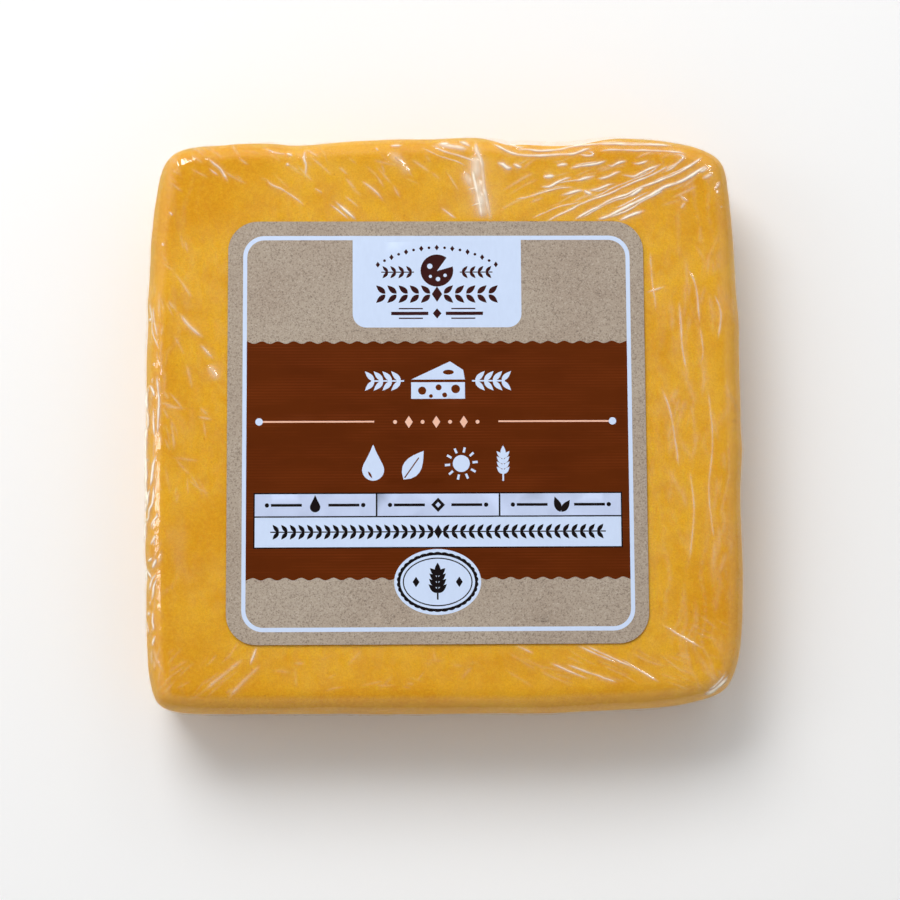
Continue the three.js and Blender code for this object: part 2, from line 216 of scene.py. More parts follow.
    (0.18, 0.2, 0.4, [(-43.39, 46.72), (-41.36, 45.21)]),
    (0.2, 0.3, 0.4, [(-32.89, 44.82), (-31.60, 43.50), (-29.75, 42.56), (-27.73, 41.24), (-25.51, 39.54)]),
    (0.2, 0.34, 0.7, [(-25.54, 50.68), (-25.72, 48.41), (-25.35, 47.46), (-25.53, 44.63)]),
    (0.2, 0.28, 0.5, [(-33.10, 50.69), (-31.25, 49.74), (-28.67, 49.36)]),
    (0.18, 0.22, 0.3, [(-23.86, 42.93), (-22.21, 41.98)]),
    (0.22, 0.36, 0.9, [(-20.18, 40.66), (-17.97, 38.59), (-15.95, 36.71)]),
    (0.16, 0.2, 0.5, [(-21.28, 40.10), (-19.08, 38.40), (-17.24, 36.71)]),
    (0.24, 0.28, 0.4, [(-15.39, 44.43), (-12.63, 42.35), (-10.79, 40.09)]),
    (0.9, 0.22, 0.25, [(-10.40, 49.91), (-8.01, 47.83), (-6.17, 44.99)]),
    (0.2, 0.2, 0.3, [(-9.48, 49.53), (-7.27, 47.45), (-5.62, 44.80)]),
    (0.18, 0.22, 0.3, [(-18.34, 41.60), (-15.40, 39.15)]),
    (0.2, 0.3, 0.6, [(-0.66, 39.32), (2.46, 37.06)]),
    (0.18, 0.25, 0.5, [(-12.62, 50.86), (-11.88, 49.91)]),
    (0.22, 0.25, 0.6, [(-10.03, 51.05), (-7.44, 51.05)]),
    (0.24, 0.24, 0.6, [(-29.04, 49.55), (-27.75, 49.17)]),
    (0.24, 0.2, 0.6, [(-29.03, 47.65), (-28.48, 47.09)]),
    (0.18, 0.25, 0.6, [(-50.48, 38.63), (-49.74, 37.69)]),
    (0.18, 0.25, 0.6, [(-51.89, 32.82), (-51.33, 32.07)]),
    (0.3, 0.28, 0.45, [(-48.66, 19.94), (-47.00, 17.71), (-45.34, 16.04), (-43.69, 14.74)]),
    (0.26, 0.24, 0.35, [(-44.78, 14.00), (-43.31, 12.33), (-42.02, 10.85)]),
    (0.7, 0.2, 0.3, [(-43.11, 10.30), (-42.01, 8.45), (-41.09, 6.79)]),
    (0.2, 0.18, 0.35, [(44.74, 27.79), (46.33, 24.42), (46.93, 17.13)]),
    (0.2, 0.18, 0.35, [(49.62, 23.10), (50.83, 19.18), (50.17, 14.15)]),
    (0.22, 0.18, 0.35, [(43.15, 21.81), (43.55, 13.79), (44.19, 8.59)]),
    (0.22, 0.18, 0.3, [(39.55, 5.64), (41.29, 0.65), (42.57, -9.28)]),
    (0.2, 0.18, 0.35, [(36.92, 23.13), (40.81, 24.43)]),
    (0.18, 0.16, 0.25, [(46.93, 17.13), (47.38, 12.11), (46.77, 9.51)]),
    (0.18, 0.16, 0.25, [(37.97, 31.18), (38.25, 25.55), (38.88, 19.57)]),
    (0.18, 0.14, 0.25, [(48.15, 5.06), (48.88, -4.16), (47.95, -13.69), (48.69, -22.45)]),
    (0.18, 0.14, 0.25, [(44.57, -9.65), (45.16, -16.97), (44.26, -26.06)]),
    (0.2, 0.24, 0.35, [(12.23, -41.25), (15.99, -42.89)]),
    (0.2, 0.28, 0.45, [(18.32, -44.33), (25.83, -47.59)]),
    (0.2, 0.28, 0.45, [(21.37, -44.71), (31.04, -48.16)]),
    (0.2, 0.28, 0.45, [(23.58, -41.31), (31.10, -44.76)]),
    (0.2, 0.28, 0.45, [(24.84, -41.32), (34.86, -45.85)]),
    (0.2, 0.28, 0.45, [(31.11, -43.68), (38.60, -48.20)]),
    (0.2, 0.26, 0.4, [(38.79, -37.61), (46.47, -42.14)]),
    (0.3, 0.4, 0.8, [(45.76, -50.56), (48.49, -49.32), (51.26, -46.47)]),
    (0.2, 0.3, 0.6, [(46.68, -49.85), (48.88, -48.25), (50.73, -45.93)]),
    (0.2, 0.3, 0.6, [(-33.94, -41.20), (-35.18, -44.77)]),
    (0.34, 0.2, 0.25, [(-36.26, -43.34), (-43.37, -49.19)]),
    (0.34, 0.18, 0.22, [(-33.03, -44.43), (-39.43, -50.63)]),
]

TOP_ROUND = 4.4
BOTTOM_ROUND = 3.4


# ---------------------------------------------------------------- maths ----
def smoothstep(a, b, x):
    t = np.clip((x - a) / (b - a), 0, 1)
    return t * t * (3 - 2 * t)


def perlin(p, seed):
    """Gradient noise, about -1 to 1, at points p of shape (n, 3)."""
    rng = np.random.default_rng(seed)
    perm = rng.permutation(256)
    perm = np.concatenate([perm, perm, perm])
    grad = rng.normal(size=(256, 3))
    grad /= np.linalg.norm(grad, axis=1)[:, None]
    cell = np.floor(p).astype(np.int64)
    f = p - cell
    cell &= 255
    u = f * f * f * (f * (f * 6 - 15) + 10)
    total = np.zeros(len(p))
    for dx in (0, 1):
        wx = u[:, 0] if dx else 1 - u[:, 0]
        hx = perm[(cell[:, 0] + dx) & 255]
        for dy in (0, 1):
            wy = u[:, 1] if dy else 1 - u[:, 1]
            hy = perm[hx + ((cell[:, 1] + dy) & 255)]
            for dz in (0, 1):
                wz = u[:, 2] if dz else 1 - u[:, 2]
                h = perm[hy + ((cell[:, 2] + dz) & 255)]
                g = grad[h]
                dot = ((f[:, 0] - dx) * g[:, 0] + (f[:, 1] - dy) * g[:, 1]
                       + (f[:, 2] - dz) * g[:, 2])
                total += wx * wy * wz * dot
    return total * 1.6


def fractal(p, seed, octaves=3, gain=0.5):
    total = np.zeros(len(p))
    amp = 1.0
    for k in range(octaves):
        total += amp * perlin(p * (2.03 ** k) + 17.1 * k, seed + k)
        amp *= gain
    return total


def ridged(p, seed, sharp=3.0):
    """Thin bright ridges where the noise crosses zero, 0 to 1."""
    return np.clip(1 - np.abs(perlin(p, seed)) * sharp, 0, 1)


def spline(points, step):
    """Catmull-Rom curve through open points, about every step mm."""
    p = np.asarray(points, float)
    if len(p) == 2:
        n = max(2, int(np.hypot(*(p[1] - p[0])) / step))
        t = np.linspace(0, 1, n + 1)[:, None]
        return p[0] * (1 - t) + p[1] * t
    q = np.vstack([2 * p[0] - p[1], p, 2 * p[-1] - p[-2]])
    out = []
    for i in range(1, len(q) - 2):
        a, b, c, d = q[i - 1], q[i], q[i + 1], q[i + 2]
        n = max(2, int(np.hypot(*(c - b)) / step))
        for k in range(n):
            t = k / n
            out.append(0.5 * (2 * b + (c - a) * t + (2 * a - 5 * b + 4 * c - d) * t * t
                              + (3 * b - a - 3 * c + d) * t ** 3))
    out.append(p[-1])
    return np.array(out)


def closed_outline():
    """The outline every 0.1 mm, with smooth outward normals."""
    p = np.asarray(OUTLINE, float)
    n = len(p)
    pts = []
    for i in range(n):
        a, b, c, d = p[i - 1], p[i], p[(i + 1) % n], p[(i + 2) % n]
        for k in range(20):
            t = k / 20
            pts.append(0.5 * (2 * b + (c - a) * t + (2 * a - 5 * b + 4 * c - d) * t * t
                              + (3 * b - a - 3 * c + d) * t ** 3))
    pts = np.array(pts)
    size = len(pts)
    step = np.hypot(*(np.roll(pts, -1, 0) - pts).T)
    length = step.sum()
    s = np.concatenate([[0], np.cumsum(step)])
    closed = np.vstack([pts, pts[:1]])
    m = int(length / 0.1)
    at = np.arange(m) * length / m
    dense = np.stack([np.interp(at, s, closed[:, k]) for k in (0, 1)], 1)

    def blur(v, sigma):
        r = int(4 * sigma)
        w = np.exp(-0.5 * (np.arange(-r, r + 1) / sigma) ** 2)
        w /= w.sum()
        return np.stack([np.convolve(np.concatenate([v[-r:, k], v[:, k], v[:r, k]]), w, "valid")
                         for k in (0, 1)], 1)

    dense = blur(dense, 5)
    soft = blur(dense, 35)
    tangent = np.roll(soft, -1, 0) - np.roll(soft, 1, 0)
    tangent /= np.linalg.norm(tangent, axis=1)[:, None]
    normal = np.stack([tangent[:, 1], -tangent[:, 0]], 1)
    return dense, normal, length


DENSE, DENSE_NORMAL, PERIMETER = closed_outline()


def columns(count, focus):
    """Points round the outline: denser where focus(point) is higher."""
    weight = focus(DENSE[:, 0], DENSE[:, 1])
    cum = np.concatenate([[0], np.cumsum(weight)])
    at = np.interp(np.arange(count) / count * cum[-1], cum, np.arange(len(cum)))
    m = len(DENSE)
    k = np.floor(at).astype(int) % m
    t = (at - np.floor(at))[:, None]
    o = DENSE[k] * (1 - t) + DENSE[(k + 1) % m] * t
    nrm = DENSE_NORMAL[k] * (1 - t) + DENSE_NORMAL[(k + 1) % m] * t
    nrm /= np.linalg.norm(nrm, axis=1)[:, None]
    s = at / m * PERIMETER
    return o, nrm, s


def under_label(direction, half_x, half_y, power=10):
    """Rounded rectangle round the label's centre, by direction."""
    c = direction / np.linalg.norm(direction, axis=1)[:, None]
    r = (np.abs(c[:, 0] / half_x) ** power + np.abs(c[:, 1] / half_y) ** power) ** (-1 / power)
    return np.array([LABEL_X, LABEL_Y]) + c * r[:, None]


def shell_rows(count, focus, skin, top, bottom, n_top, n_round, n_wall, n_foot, n_low):
    """Rings from under the label, out over the top edge, down the side and in
    under the slab. Returns a list of (xyz, s, zone) with zone 0 on the top
    face, 1 on the top edge, 2 on the side, 3 on the bottom edge, 4 below."""
    o, nrm, s = columns(count, focus)
    rows = []
    flat = o - nrm * (skin + TOP_ROUND)
    inner = under_label(flat - np.array([LABEL_X, LABEL_Y]), 35.6, 36.2)

    def thin(values, every):
        return values[::every]

    def add(xy, z, zone, every=1):
        xyz = np.column_stack([xy, np.full(len(xy), z)])
        rows.append((thin(xyz, every), thin(s, every), zone))

    centre = np.array([LABEL_X, LABEL_Y])
    for k, scale in ((64, 0.16), (32, 0.34), (16, 0.52), (8, 0.70), (4, 0.84), (2, 0.93)):
        add(centre + (inner - centre) * scale, top, 0, k)
    for i in range(n_top):
        t = i / n_top
        add(inner * (1 - t) + flat * t, top, 0)
    for i in range(n_round):
        a = i / n_round * math.pi / 2
        add(o - nrm * (skin + TOP_ROUND * (1 - math.sin(a))),
            top - TOP_ROUND * (1 - math.cos(a)), 1)
    z_hi = top - TOP_ROUND
    z_lo = bottom + BOTTOM_ROUND
    for i in range(n_wall + 1):
        t = i / n_wall
        add(o - nrm * (skin + 0.30 * t * t), z_hi + (z_lo - z_hi) * t, 2)
    for i in range(1, n_foot + 1):
        a = i / n_foot * math.pi / 2
        add(o - nrm * (skin + 0.30 + BOTTOM_ROUND * (1 - math.cos(a))),
            z_lo - BOTTOM_ROUND * math.sin(a), 3)
    foot = o - nrm * (skin + 0.30 + BOTTOM_ROUND)
    low_inner = under_label(foot - centre, 30.0, 30.0)
    for i in range(1, n_low + 1):
        t = i / n_low
        add(foot * (1 - t) + low_inner * t, bottom, 4)
    for k, scale in ((2, 0.95), (4, 0.87), (8, 0.75), (16, 0.58), (32, 0.38), (64, 0.18)):
        add(centre + (low_inner - centre) * scale, bottom, 4, k)
    return rows


def join_rows(rows):
    """One vertex array and its faces. Neighbouring rings have equal counts or
    one has half the other's."""
    xyz = np.vstack([r[0] for r in rows])
    s = np.concatenate([r[1] for r in rows])
    zone = np.concatenate([np.full(len(r[0]), r[2]) for r in rows])
    start = np.cumsum([0] + [len(r[0]) for r in rows])
    faces = []
    for k in range(len(rows) - 1):
        a, b = start[k], start[k + 1]
        n, m = len(rows[k][0]), len(rows[k + 1][0])
        if n == m:
            i = np.arange(n)
            j = (i + 1) % n
            faces.extend(np.stack([a + i, b + i, b + j, a + j], 1).tolist())
        elif m == 2 * n:
            for i in range(n):
                j = (i + 1) % n
                p, q, r = b + 2 * i, b + 2 * i + 1, b + (2 * i + 2) % m
                faces += [(a + i, p, q), (a + i, q, a + j), (a + j, q, r)]
        else:
            for i in range(m):
                j = (i + 1) % m
                p, q, r = a + 2 * i, a + 2 * i + 1, a + (2 * i + 2) % n
                faces += [(b + i, q, p), (b + i, b + j, q), (b + j, r, q)]
    faces.append(tuple(range(len(rows[0][0]))))
    last = start[len(rows) - 1]
    faces.append(tuple(last + i for i in reversed(range(len(rows[-1][0])))))
    return xyz, s, zone, faces


def row_normals(rows):
    """Outward normal of each ring point, from its neighbours."""
    out = []
    count = max(len(r[0]) for r in rows)
    for k, (xyz, _, zone) in enumerate(rows):
        n = len(xyz)
        if n < count:
            out.append(np.tile([0, 0, 1.0 if zone == 0 else -1.0], (n, 1)))
            continue
        along = np.roll(xyz, -1, 0) - np.roll(xyz, 1, 0)
        a = rows[k - 1][0] if k and len(rows[k - 1][0]) == n else xyz
        b = rows[k + 1][0] if k + 1 < len(rows) and len(rows[k + 1][0]) == n else xyz
        nrm = np.cross(b - a, along)
        nrm /= np.linalg.norm(nrm, axis=1)[:, None] + 1e-12
        out.append(nrm)
    return np.vstack(out)


def new_object(name, xyz_mm, faces, smooth=True):
    mesh = bpy.data.meshes.new(name)
    mesh.from_pydata((np.asarray(xyz_mm) * MM).tolist(), [], faces)
    mesh.update()
    if smooth:
        mesh.shade_smooth()
    obj = bpy.data.objects.new(name, mesh)
    bpy.context.scene.collection.objects.link(obj)
    return obj


def set_attribute(mesh, name, values):
    layer = mesh.attributes.new(name, "FLOAT", "POINT")
    layer.data.foreach_set("value", np.asarray(values, dtype=np.float32))


# ------------------------------------------------------- film's relief ----
def stray_creases():
    """Short faint wrinkles between the listed ones, the same every run."""
    rng = np.random.default_rng(7)
    out = []
    # centre x, y, spread x, y, direction (deg), spread, count, length
    fields = [
        (-36, 47, 14, 4, -38, 14, 26, 5.0), (-8, 46, 12, 4, -42, 16, 20, 4.5),
        (22, 44, 12, 5, 22, 8, 20, 6.0), (42, 45, 7, 5, 27, 8, 16, 5.0),
        (-47, 10, 4, 26, -62, 22, 34, 5.0), (-52.5, -12, 1.2, 36, 90, 12, 46, 4.5),
        (46, 10, 5, 28, 88, 12, 40, 9.0), (50, -20, 3, 18, 84, 9, 16, 8.0),
        (28, -46, 16, 3, -22, 8, 26, 6.0), (46, -42, 5, 6, -30, 12, 16, 5.0),
        (-44, -46, 7, 4, 42, 9, 20, 5.0), (-12, -46, 18, 3, 20, 34, 20, 4.0),
    ]
    for cx, cy, sx, sy, deg, dev, count, length in fields:
        for _ in range(count):
            x = cx + rng.uniform(-1, 1) * sx
            y = cy + rng.uniform(-1, 1) * sy
            a = math.radians(deg + rng.normal() * dev)
            ln = length * rng.uniform(0.4, 1.3)
            bend = rng.normal() * 0.12
            pts = []
            for k in range(4):
                t = k / 3 - 0.5
                pts.append((x + math.cos(a) * ln * t - math.sin(a) * ln * bend * (t * t - 0.08),
                            y + math.sin(a) * ln * t + math.cos(a) * ln * bend * (t * t - 0.08)))
            soft = cx > 44 and abs(deg) > 60
            low = cy < -40
            out.append((rng.uniform(0.30, 0.6) if soft else rng.uniform(0.16, 0.30),
                        rng.uniform(0.02, 0.06) if soft or low else rng.uniform(0.03, 0.10),
                        rng.uniform(0.03, 0.10) if soft or low else rng.uniform(0.05, 0.20), pts))
    return out


def crease_paths():
    """(half width, height, clouding, path) with a little wander in each path; the clouding is partly a painted
    highlight.
    """
    rng = np.random.default_rng(3)
    out = []
    for width, tall, haze_and_painted_highlight, points in CREASES + stray_creases():
        path = spline(points, 0.40)
        n = len(path)
        wander = np.cumsum(rng.normal(size=(n, 2)), 0)
        wander -= wander[0] + (wander[-1] - wander[0]) * np.linspace(0, 1, n)[:, None]
        out.append((width, tall, haze_and_painted_highlight, path + wander * 0.018))
    return out


PATHS = crease_paths()


def crease_relief(x, y):
    """Height and clouding (mm, 0..1) that the creases give at points; the clouding is partly a painted highlight along
    each crest.
    """
    height = np.zeros(len(x))
    cloud_and_painted_highlight = np.zeros(len(x))
    order = np.argsort(x, kind="stable")
    sorted_x = x[order]
    for index, (width, tall, haze_and_painted_highlight, path) in enumerate(PATHS):
        reach = width * 4.5
        lo = np.searchsorted(sorted_x, path[:, 0].min() - reach)
        hi = np.searchsorted(sorted_x, path[:, 0].max() + reach)
        near = order[lo:hi]
        near = near[(y[near] > path[:, 1].min() - reach) & (y[near] < path[:, 1].max() + reach)]
        if not len(near):
            continue
        px, py = x[near], y[near]
        best = np.full(len(near), 1e9)
        place = np.zeros(len(near))
        side = np.zeros(len(near))
        run = np.concatenate([[0], np.cumsum(np.hypot(*np.diff(path, axis=0).T))])
        for k in range(len(path) - 1):
            ax, ay = path[k]
            dx, dy = path[k + 1] - path[k]
            l2 = dx * dx + dy * dy + 1e-12
            t = np.clip(((px - ax) * dx + (py - ay) * dy) / l2, 0, 1)
            ex, ey = px - (ax + t * dx), py - (ay + t * dy)
            d = np.hypot(ex, ey)
            better = d < best
            best[better] = d[better]
            place[better] = run[k] + t[better] * math.sqrt(l2)
            side[better] = np.sign(dx * ey - dy * ex)[better]
        total = run[-1]
        end = np.minimum(place, total - place)
        vary = 1 + 0.20 * np.sin(place * 0.9 + index) + 0.12 * np.sin(place * 2.3 + 2 * index)
        taper = smoothstep(-0.02, min(2.2, total * 0.4), end)
        lean = np.where(side > 0, 1.0, 1.5)
        d = best / (width * lean)
        ridge = np.clip(1 - d, 0, 1) ** 1.15
        trough = -0.16 * np.exp(-((d - 1.45) / 0.5) ** 2)
        skirt = 0.10 * np.exp(-((d - 2.6) / 0.8) ** 2)
        peak = 0.50 * width * (tall / 0.34) ** 0.7
        h = peak * taper * vary * (ridge + trough + skirt)
        stronger = np.abs(h) > np.abs(height[near])
        height[near] = np.where(stronger, h, height[near])
        # painted highlight: a cream line along each crest that stands in for the gloss the crease flanks catch, on top
        # of the film's own whitening
        c = haze_and_painted_highlight * taper * vary * (0.86 * np.exp(-(best / (width * 0.80)) ** 2)
                                   + 0.14 * np.exp(-(best / (width * 2.6)) ** 2))
        cloud_and_painted_highlight[near] = np.maximum(cloud_and_painted_highlight[near], c)
    return height, cloud_and_painted_highlight


def label_distance(x, y):
    """Distance outside the label's edge (mm), negative under it."""
    qx = np.abs(x - LABEL_X) - (38.1 - 5.5)
    qy = np.abs(y - LABEL_Y) - (38.8 - 5.5)
    return (np.hypot(np.maximum(qx, 0), np.maximum(qy, 0))
            + np.minimum(np.maximum(qx, qy), 0) - 5.5)


def ring_noise(s, z, f_s, f_z, seed, lean=0.0, octaves=1):
    """Noise that closes round the slab: f_s and f_z are per mm."""
    angle = 2 * math.pi * (s + lean * z) / PERIMETER
    r = PERIMETER / (2 * math.pi) * f_s
    p = np.column_stack([np.cos(angle) * r, np.sin(angle) * r, z * f_z])
    return fractal(p + 31.7, seed, octaves)


def ridged_ring(s, z, f_s, f_z, seed, lean, sharp):
    n = ring_noise(s, z, f_s, f_z, seed, lean)
    return np.clip(1 - np.abs(n) * sharp, 0, 1) ** 1.5


def slack(xyz, s):
    """Low swells that the cheese and the film over it share (mm)."""
    x, y, z = xyz.T
    p = np.column_stack([x, y, z])
    up = smoothstep(TOP - TOP_ROUND + 0.8, TOP - 0.9, z)
    swell = 0.050 * fractal(p * [0.085, 0.085, 0.05] + 3.3, 11, 3)
    bulge = 0.14 * ring_noise(s, z, 0.055, 0.06, 55, 0.4, 2)
    below = smoothstep(2.2, 0.2, z)
    return up * swell + (1 - up) * bulge * (1 - 0.75 * below)


def pale_patches(x, y, z):
    """Where the cheese looks paler and the film stands off it, 0 to 1."""
    p = np.column_stack([x, y, z])
    rim = np.minimum(55.0 - np.abs(x), 53.7 - np.abs(y))
    field = 0.40 + 0.52 * fractal(p * [0.050, 0.050, 0.04] + 1.7, 61, 3)
    field += 0.34 * np.exp(-np.maximum(label_distance(x, y), 0) / 6.0)
    field -= 0.28 * smoothstep(7.0, 2.0, rim)
    field += 0.10 * smoothstep(0, 35, x) + 0.14 * smoothstep(20, 45, y)
    for cx, cy, radius, amount in ((-50, 48, 14, -0.42), (-49, -46, 16, -0.40), (50, -44, 12, -0.25),
                                   (-47, -20, 10, -0.15), (-44, 22, 12, 0.20), (6, 46, 10, 0.22),
                                   (44, 30, 9, 0.18), (47, 8, 8, 0.12), (42, 45, 9, -0.20)):
        field += amount * np.exp(-((x - cx) ** 2 + (y - cy) ** 2) / radius ** 2)
    return smoothstep(0.0, 1.0, field)


def film_relief(xyz, s):
    x, y, z = xyz.T
    label_d = label_distance(x, y)
    over = z > TOP - TOP_ROUND
    clear = np.where(over, smoothstep(-0.1, 0.5, label_d), 1.0)      # 0 under the label
    top_face = np.where(over, smoothstep(TOP - TOP_ROUND + 0.8, TOP - 0.9, z), 0.0)
    crease_on = np.where(z > TOP - TOP_ROUND - 1.0, smoothstep(TOP - TOP_ROUND - 0.9, TOP - 3.0, z), 0.0)
    height, cloud_and_painted_highlight = crease_relief(x, y)
    height *= crease_on
    cloud_and_painted_highlight *= crease_on
    # slack film between the creases: low swells, and soft wrinkles in patches
    p = np.column_stack([x, y, z])
    warp = np.column_stack([fractal(p * 0.11, 31, 2), fractal(p * 0.11 + 7, 32, 2), np.zeros(len(x))])
    right = smoothstep(36, 42, x)
    left = smoothstep(42, 52, -x)
    streaks = ridged((p + warp * 2.0) * [0.36, 0.050, 0.1] + 2, 43, 4.0) ** 2
    ripple = fractal((p + warp * 3.0) * [0.20, 0.20, 0.1] + 12, 44, 2)
    streak_here = np.maximum(right, 0.8 * left) * smoothstep(-0.3, 0.35, perlin(p * [0.1, 0.05, 0.1], 23))
    relief_top = 0.030 * ripple + 0.07 * streaks * streak_here
    # sides: pleats that run down and in under the slab, and lean near corners
    corner = smoothstep(0.80, 0.95, np.minimum(np.abs(x) / 55.0, np.abs(y) / 53.6) * 1.02)
    depth = np.clip((TOP - z) / TOP, 0, 1)
    side = 1 - top_face
    pleat = ridged_ring(s, z, 0.26, 0.020, 51, 0.25, 4.2)
    pleat2 = ridged_ring(s, z, 0.50, 0.035, 52, -0.55, 4.5)
    sweep = ridged_ring(s, z, 0.10, 0.16, 53, 1.6, 6.5)
    where = smoothstep(-0.35, 0.45, ring_noise(s, z, 0.045, 0.03, 54))
    relief_side = ((0.05 + 0.42 * depth ** 1.3 * (0.30 + 0.70 * corner)) * pleat * (0.35 + 0.65 * where)
                   + 0.14 * pleat2 * depth * (0.3 + 0.7 * corner)
                   + 0.16 * sweep * (1 - 0.6 * where) * smoothstep(0.05, 0.3, depth))
    below = smoothstep(2.2, 0.2, z)
    relief_side = relief_side * (1 - 0.75 * below)
    edge_band = smoothstep(TOP - 0.05, TOP - 0.6, z) * smoothstep(TOP - 5.5, TOP - 3.5, z)
    crumple = 0.030 * ring_noise(s, z, 0.55, 0.40, 56, 0.5, 2) * edge_band
    relief = (clear * (top_face * relief_top + height) + side * relief_side + slack(xyz, s) + crumple)
    # clouding: creases (partly a painted highlight along their crests), and where air keeps the film off the cheese
    air = pale_patches(x, y, z)
    near_label = np.exp(-np.maximum(label_d, 0) / 5.0) * top_face
    haze_and_painted_highlight = (cloud_and_painted_highlight + 0.09 * streaks * streak_here * top_face
            + 0.085 * pleat * side * smoothstep(0.1, 0.4, depth) + 0.05 * sweep * side * smoothstep(0.1, 0.4, depth))
    return relief, np.clip(haze_and_painted_highlight, 0, 1) * clear, np.clip(air * (0.8 + 0.3 * near_label), 0, 1)


LIP = 0.55          # how far in from the outline, in plan, the top sheet ends
FILM_BOTTOM = 0.44  # the sheet's underside; its flaps lie below
CHEESE_BOTTOM = 0.56
COLUMNS = 768


def even(x, y):
    return np.ones(len(x))


def plan_points(o, nrm):
    """Points and fixed lines of the top sheet in plan: its rim, the creases
    with the lines beside them, and a scatter between."""
    rng = np.random.default_rng(5)
    rim = o - nrm * LIP
    verts = [tuple(p) for p in rim]
    edges = [(i, (i + 1) % len(rim)) for i in range(len(rim))]
    tree_pts = DENSE[::3]
    taken = []
    for width, tall, haze_and_painted_highlight, path in PATHS:
        tangent = np.gradient(path, axis=0)
        tangent /= np.linalg.norm(tangent, axis=1)[:, None] + 1e-12
        across = np.stack([-tangent[:, 1], tangent[:, 0]], 1)
        fixed = (0.0, 0.5, -0.75, 1.0, -1.5) if tall > 0.12 else (0.0, 1.0, -1.5)
        for k in fixed:
            line = path + across * width * k
            good = inside_plan(line, LIP + 0.22)
            previous = None
            for p, ok in zip(line, good):
                if not ok:
                    previous = None
                    continue
                verts.append(tuple(p))
                if previous is not None:
                    edges.append((previous, len(verts) - 1))
                previous = len(verts) - 1
        for k in (1.9, -2.6):
            line = path + across * width * k
            for p, ok in zip(line, inside_plan(line, LIP + 0.22)):
                if ok:
                    verts.append(tuple(p))
        taken.append(path)
    taken = np.vstack(taken)
    near = set((int(math.floor(a / 0.5)), int(math.floor(b / 0.5))) for a, b in taken)
    step = 0.62
    rows = int(54.5 / (step * 0.93)) + 1
    scatter = []
    for j in range(-rows, rows + 1):
        for i in range(int(-56 / step), int(56 / step) + 1):
            scatter.append((i * step + (0.5 * step if j % 2 else 0), j * step * 0.93))
    scatter = np.array(scatter) + rng.uniform(-0.10, 0.10, (len(scatter), 2))
    d = label_distance(scatter[:, 0], scatter[:, 1])
    index = np.arange(len(scatter))
    keep = (d > -0.8) | ((d > -3.5) & (index % 5 == 0)) | (index % 37 == 0)
    keep &= inside_plan(scatter, LIP + 0.30)
    for a, b in scatter[keep]:
        if (int(math.floor(a / 0.5)), int(math.floor(b / 0.5))) not in near:
            verts.append((a, b))
    return verts, edges


def outline_distance(points):
    """Distance in from the outline (mm) and the nearest outline index."""
    best = np.empty(len(points))
    index = np.empty(len(points), int)
    coarse = DENSE[::4]
    for k in range(0, len(points), 4000):
        block = points[k:k + 4000]
        d2 = ((block[:, None, :] - coarse[None]) ** 2).sum(2)
        c = d2.argmin(1) * 4
        near = (c[:, None] + np.arange(-4, 5)[None]) % len(DENSE)
        dd = ((block[:, None, :] - DENSE[near]) ** 2).sum(2)
        pick = dd.argmin(1)
        index[k:k + 4000] = near[np.arange(len(block)), pick]
    delta = DENSE[index] - points
    best = (delta * DENSE_NORMAL[index]).sum(1)
    far = np.hypot(*delta.T)
    return np.where(best > 0, np.maximum(best, far * 0.999), best), index


def inset_along_rings(points, distance, index):
    """Inset and outline index of plan points near the rim, measured along the
    lines on which the rings of the side are built."""
    inset = distance.copy()
    place = index.astype(float)
    near = np.nonzero(distance < TOP_ROUND + 2.5)[0]
    m = len(DENSE)
    offsets = np.arange(-70, 71)
    for k in range(0, len(near), 2000):
        rows = near[k:k + 2000]
        cand = (index[rows][:, None] + offsets[None]) % m
        delta = DENSE[cand] - points[rows][:, None, :]
        normal = DENSE_NORMAL[cand]
        along = (delta * normal).sum(2)
        across = delta[:, :, 0] * normal[:, :, 1] - delta[:, :, 1] * normal[:, :, 0]
        cost = np.abs(across) + np.where(along < 0, 1e3, 0)
        pick = cost.argmin(1)
        r = np.arange(len(rows))
        inset[rows] = along[r, pick]
        # between two samples, where the across distance passes zero
        other = np.clip(pick + np.where(across[r, pick] > 0, 1, -1), 0, len(offsets) - 1)
        a, b = across[r, pick], across[r, other]
        t = np.where((a * b < 0), a / np.where(np.abs(a - b) > 1e-12, a - b, 1), 0.0)
        inset[rows] += t * (along[r, other] - along[r, pick])
        place[rows] = cand[r, pick]
    return inset, place.astype(int)


def inside_plan(points, margin):
    d, _ = outline_distance(np.asarray(points, float))
    return d > margin


def lip_angle():
    return math.asin(1 - LIP / TOP_ROUND)


def sides(face):
    return [frozenset(pair) for pair in zip(face, face[1:] + face[:1])]


def inside_ring(faces, ring):
    """Drops the slivers that the triangulation leaves outside the rim."""
    rim = set(ring)
    lines = set(frozenset(pair) for pair in zip(ring, ring[1:] + ring[:1]))
    faces = [tuple(face) for face in faces]
    suspect = [face for face in faces if all(k in rim for k in face)]
    shared = {}
    for face in faces:
        for side in sides(face):
            if side <= rim:
                shared[side] = shared.get(side, 0) + 1
    dropped = set()
    searching = True
    while searching:
        searching = False
        for face in suspect:
            if face in dropped:
                continue
            if any(shared[side] == 1 and side not in lines for side in sides(face)):
                dropped.add(face)
                searching = True
                for side in sides(face):
                    shared[side] -= 1
    return [face for face in faces if face not in dropped]


